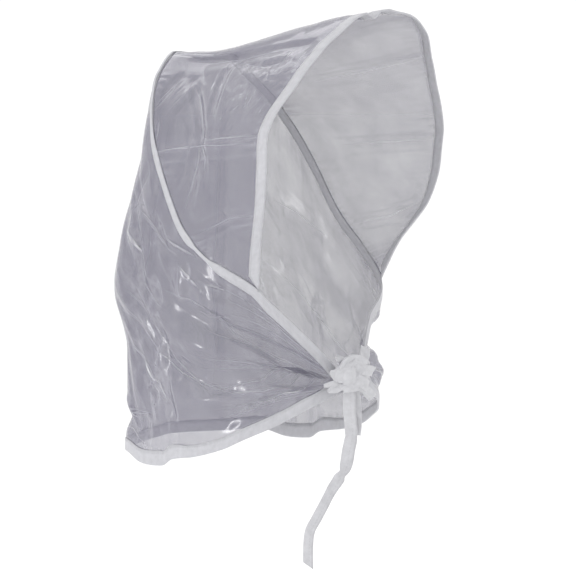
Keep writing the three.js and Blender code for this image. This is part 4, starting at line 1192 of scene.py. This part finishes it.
# %% Ribbons of the knot
KNOT_STATIONS = 44
KNOT_SIDES = 28
KNOT_SEED = 20
KNOT_FACING = np.array([-0.6, -1.0, 0.05])
KNOT_RIBBONS = (
    # name, half width, thickness, cup, crumple, twist at both ends, width at both ends, points
    ("core", 10.4, 9.0, 0.0, 0.8, (0, 0), (0.5, 0.45),
     ((-25.3, -90, -266.8), (-22.7, -94, -264.3), (-13.4, -96, -264.3), (-2, -95, -265),
      (8, -90.5, -266.5))),
    ("core low", 6.6, 7.0, 0.0, 0.7, (10, -10), (0.6, 0.6),
     ((-25.1, -92, -271.4), (-19.2, -95, -271.7), (-7.7, -95, -272.2), (3, -92, -272.4))),
    ("top bulge", 6.4, 5.0, 1.2, 0.6, (-8, 8), (0.6, 0.5),
     ((-24.9, -94.5, -261.5), (-19.1, -96, -256.4), (-11.1, -96.5, -255.4), (-1.5, -95, -258.8),
      (6, -92, -264))),
    ("near front run", 4.6, 2.0, 0.9, 0.4, (0, -8), (0.35, 0.8),
     ((-33, -91, -261), (-28, -93.5, -264), (-24.5, -95.5, -265.5), (-18, -97.5, -266.5))),
    ("near hem run", 4.4, 2.0, 0.8, 0.4, (0, 8), (0.35, 0.8),
     ((-34, -89.5, -276.6), (-27.5, -93, -273.5), (-24, -95, -271.2), (-17, -97.5, -268.5))),
    ("wrap", 5.8, 2.6, -1.6, 0.5, (-6, 12), (0.8, 0.9),
     ((-15, -93, -256), (-20.1, -99, -259), (-21.2, -101, -264.6), (-18.3, -99, -271.4),
      (-12, -93, -277.4))),
    ("top leaf", 5.6, 2.2, 1.5, 0.4, (14, -10), (1.0, 0.25),
     ((-18, -98, -265), (-13.5, -100, -259.5), (-6.5, -98, -255.5), (1, -94, -255))),
    ("top fold", 4.8, 2.0, -1.2, 0.4, (-20, 18), (0.9, 0.7),
     ((-12, -97, -267), (-9, -99.8, -260.5), (-3, -99.4, -258.0), (2, -96, -260), (3.5, -92, -265))),
    ("right end high", 4.1, 1.8, 0.7, 0.4, (12, -8), (0.8, 1.0),
     ((-15.6, -98, -261.8), (-7.4, -100, -261.6), (4.1, -98, -263.2), (11.5, -95.5, -265.2))),
    ("right end low", 4.6, 1.9, 0.9, 0.45, (-12, 14), (0.8, 1.0),
     ((-18.9, -99, -265.8), (-10.8, -100, -268.9), (-1.6, -98, -273.4), (4.1, -96, -276.6))),
    ("far front run", 4.3, 1.9, 0.9, 0.4, (0, 16), (0.95, 0.8),
     ((13.5, -84.5, -247.5), (10.5, -87, -251), (6, -90, -255), (-0.9, -94, -260))),
    ("far hem run", 4.3, 1.9, -0.8, 0.4, (0, -14), (0.95, 0.8),
     ((26, -82.5, -289.5), (20, -84.5, -285.5), (10.5, -88, -279.9), (-4.4, -93, -272))),
    ("short end", 4.6, 1.3, 0.6, 0.35, (4, -12), (0.9, 1.0),
     ((-9, -92.5, -268), (-5.5, -91.3, -281), (-2.8, -90.3, -296), (-2, -89.8, -308), (-3, -89.6, -315))),
    ("film pinch high", 3.2, 1.4, 0.6, 0.9, (30, -20), (0.5, 0.9),
     ((-25.5, -89.8, -250.9), (-21, -92, -253.4), (-15, -93.5, -257.6))),
    ("film pinch low", 2.6, 1.4, 0.5, 0.9, (-30, 20), (0.5, 0.9),
     ((-36.5, -87.5, -271.5), (-31, -91, -271), (-25, -94, -269))),
)
# %% Knot from its ribbons
knot_parts = []
for number, (label, half, thick, cup, crumple, twist, ends, spots) in enumerate(KNOT_RIBBONS):
    line = spline(spots, KNOT_STATIONS)
    share = np.linspace(0, 1, KNOT_STATIONS)
    width = np.interp(share, (0, 0.3, 0.7, 1), (ends[0], 1, 1, ends[1]))
    turning = np.interp(share, (0, 1), twist)
    ring = ribbon_ring(half, thick, cup, KNOT_SIDES)
    seed = KNOT_SEED + number
    knot_parts.append(strip_object(label, line, ring, width, KNOT_FACING, crumple, seed, turning))
knot_piece = joined("knotted_tape", knot_parts)
for piece in (knot_piece, tie_piece):
    piece.data.materials.append(lighter_tie_look)
print("knot:", len(KNOT_RIBBONS), "ribbons of tape")

# %% [markdown]
# The studio: a pale floor below the bonnet, a near-white surround and three soft lamps. A clear film shows
# only by what it dims and what it mirrors. So the key lamp is a narrow upright strip at the right side,
# whose reflection runs along the creases, two broad lamps soften the rest from the front and the back, and
# the surround stays bright so that the film reads as a grey veil in front of it.


# %% Lamps
LAMP_TARGET = Vector((0, 0, -0.18))
# Name: place and size in metres, power in watts.
LAMPS = {
    "key lamp": ((-1.45, 0.30, -0.12), (0.18, 0.5), 4.0),
    "fill lamp": ((0.6, -1.5, 1.6), (1.4, 1.4), 4.0),
    "back lamp": ((0.3, 1.2, 1.2), (1.0, 0.6), 3.0),
}


def soft_lamp(name, place, size, power):
    """A rectangular area lamp at a place, turned to the bonnet's middle."""
    light = bpy.data.lights.new(name, "AREA")
    light.shape = "RECTANGLE"
    light.size, light.size_y = size
    light.energy = power
    lamp = bpy.data.objects.new(name, light)
    lamp.location = place
    lamp.rotation_mode = "QUATERNION"
    lamp.rotation_quaternion = (LAMP_TARGET - Vector(place)).to_track_quat("-Z", "Y")
    bpy.context.scene.collection.objects.link(lamp)


for lamp_name, (lamp_place, lamp_size, lamp_power) in LAMPS.items():
    soft_lamp(lamp_name, lamp_place, lamp_size, lamp_power)
print("lamps:", sorted(LAMPS))

# %% Floor and surround
FLOOR_DROP = 0.62
FLOOR_REACH = 60.0
SURROUND_STRENGTH = 1.06
corners = ((-1, -1), (1, -1), (1, 1), (-1, 1))
floor_corners = [(x * FLOOR_REACH, y * FLOOR_REACH, -FLOOR_DROP) for x, y in corners]
floor_mesh = bpy.data.meshes.new("floor")
floor_mesh.from_pydata(floor_corners, [], [(0, 1, 2, 3)])
floor = bpy.data.objects.new("floor", floor_mesh)
bpy.context.scene.collection.objects.link(floor)
floor_look, _, floor_shader = new_material("pale floor")
floor_shader.inputs["Base Color"].default_value = (0.98, 0.98, 0.98, 1.0)
floor_shader.inputs["Roughness"].default_value = 0.9
floor_mesh.materials.append(floor_look)

world = bpy.data.worlds.new("studio")
bpy.context.scene.world = world
world.use_nodes = True
surround = world.node_tree.nodes["Background"]
surround.inputs["Color"].default_value = (1.0, 1.0, 1.0, 1.0)
surround.inputs["Strength"].default_value = SURROUND_STRENGTH
bpy.context.scene.view_settings.view_transform = "Standard"
bpy.context.scene.cycles.transparent_max_bounces = 32
print("floor:", FLOOR_DROP, "m below the crown")

# %% [markdown]
# Last, every piece is tied to the frame: which body it rides on and which solids it stands for, whose own
# meshes are then hidden.

# %% Pieces on the frame
STANDS_FOR = {
    hood_piece: "hood_film",
    visor_piece: "visor_film",
    front_tape: "seam_binding",
    hem_tape: "hem_binding",
    visor_tape: "visor_edge_binding",
    knot_piece: "tie_knot",
    tie_piece: "tie_end",
}
for piece, cad_node in STANDS_FOR.items():
    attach(piece, "root")
    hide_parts(cad_node)

# %% Pieces
print("pieces:", sorted(piece.name for piece in STANDS_FOR))
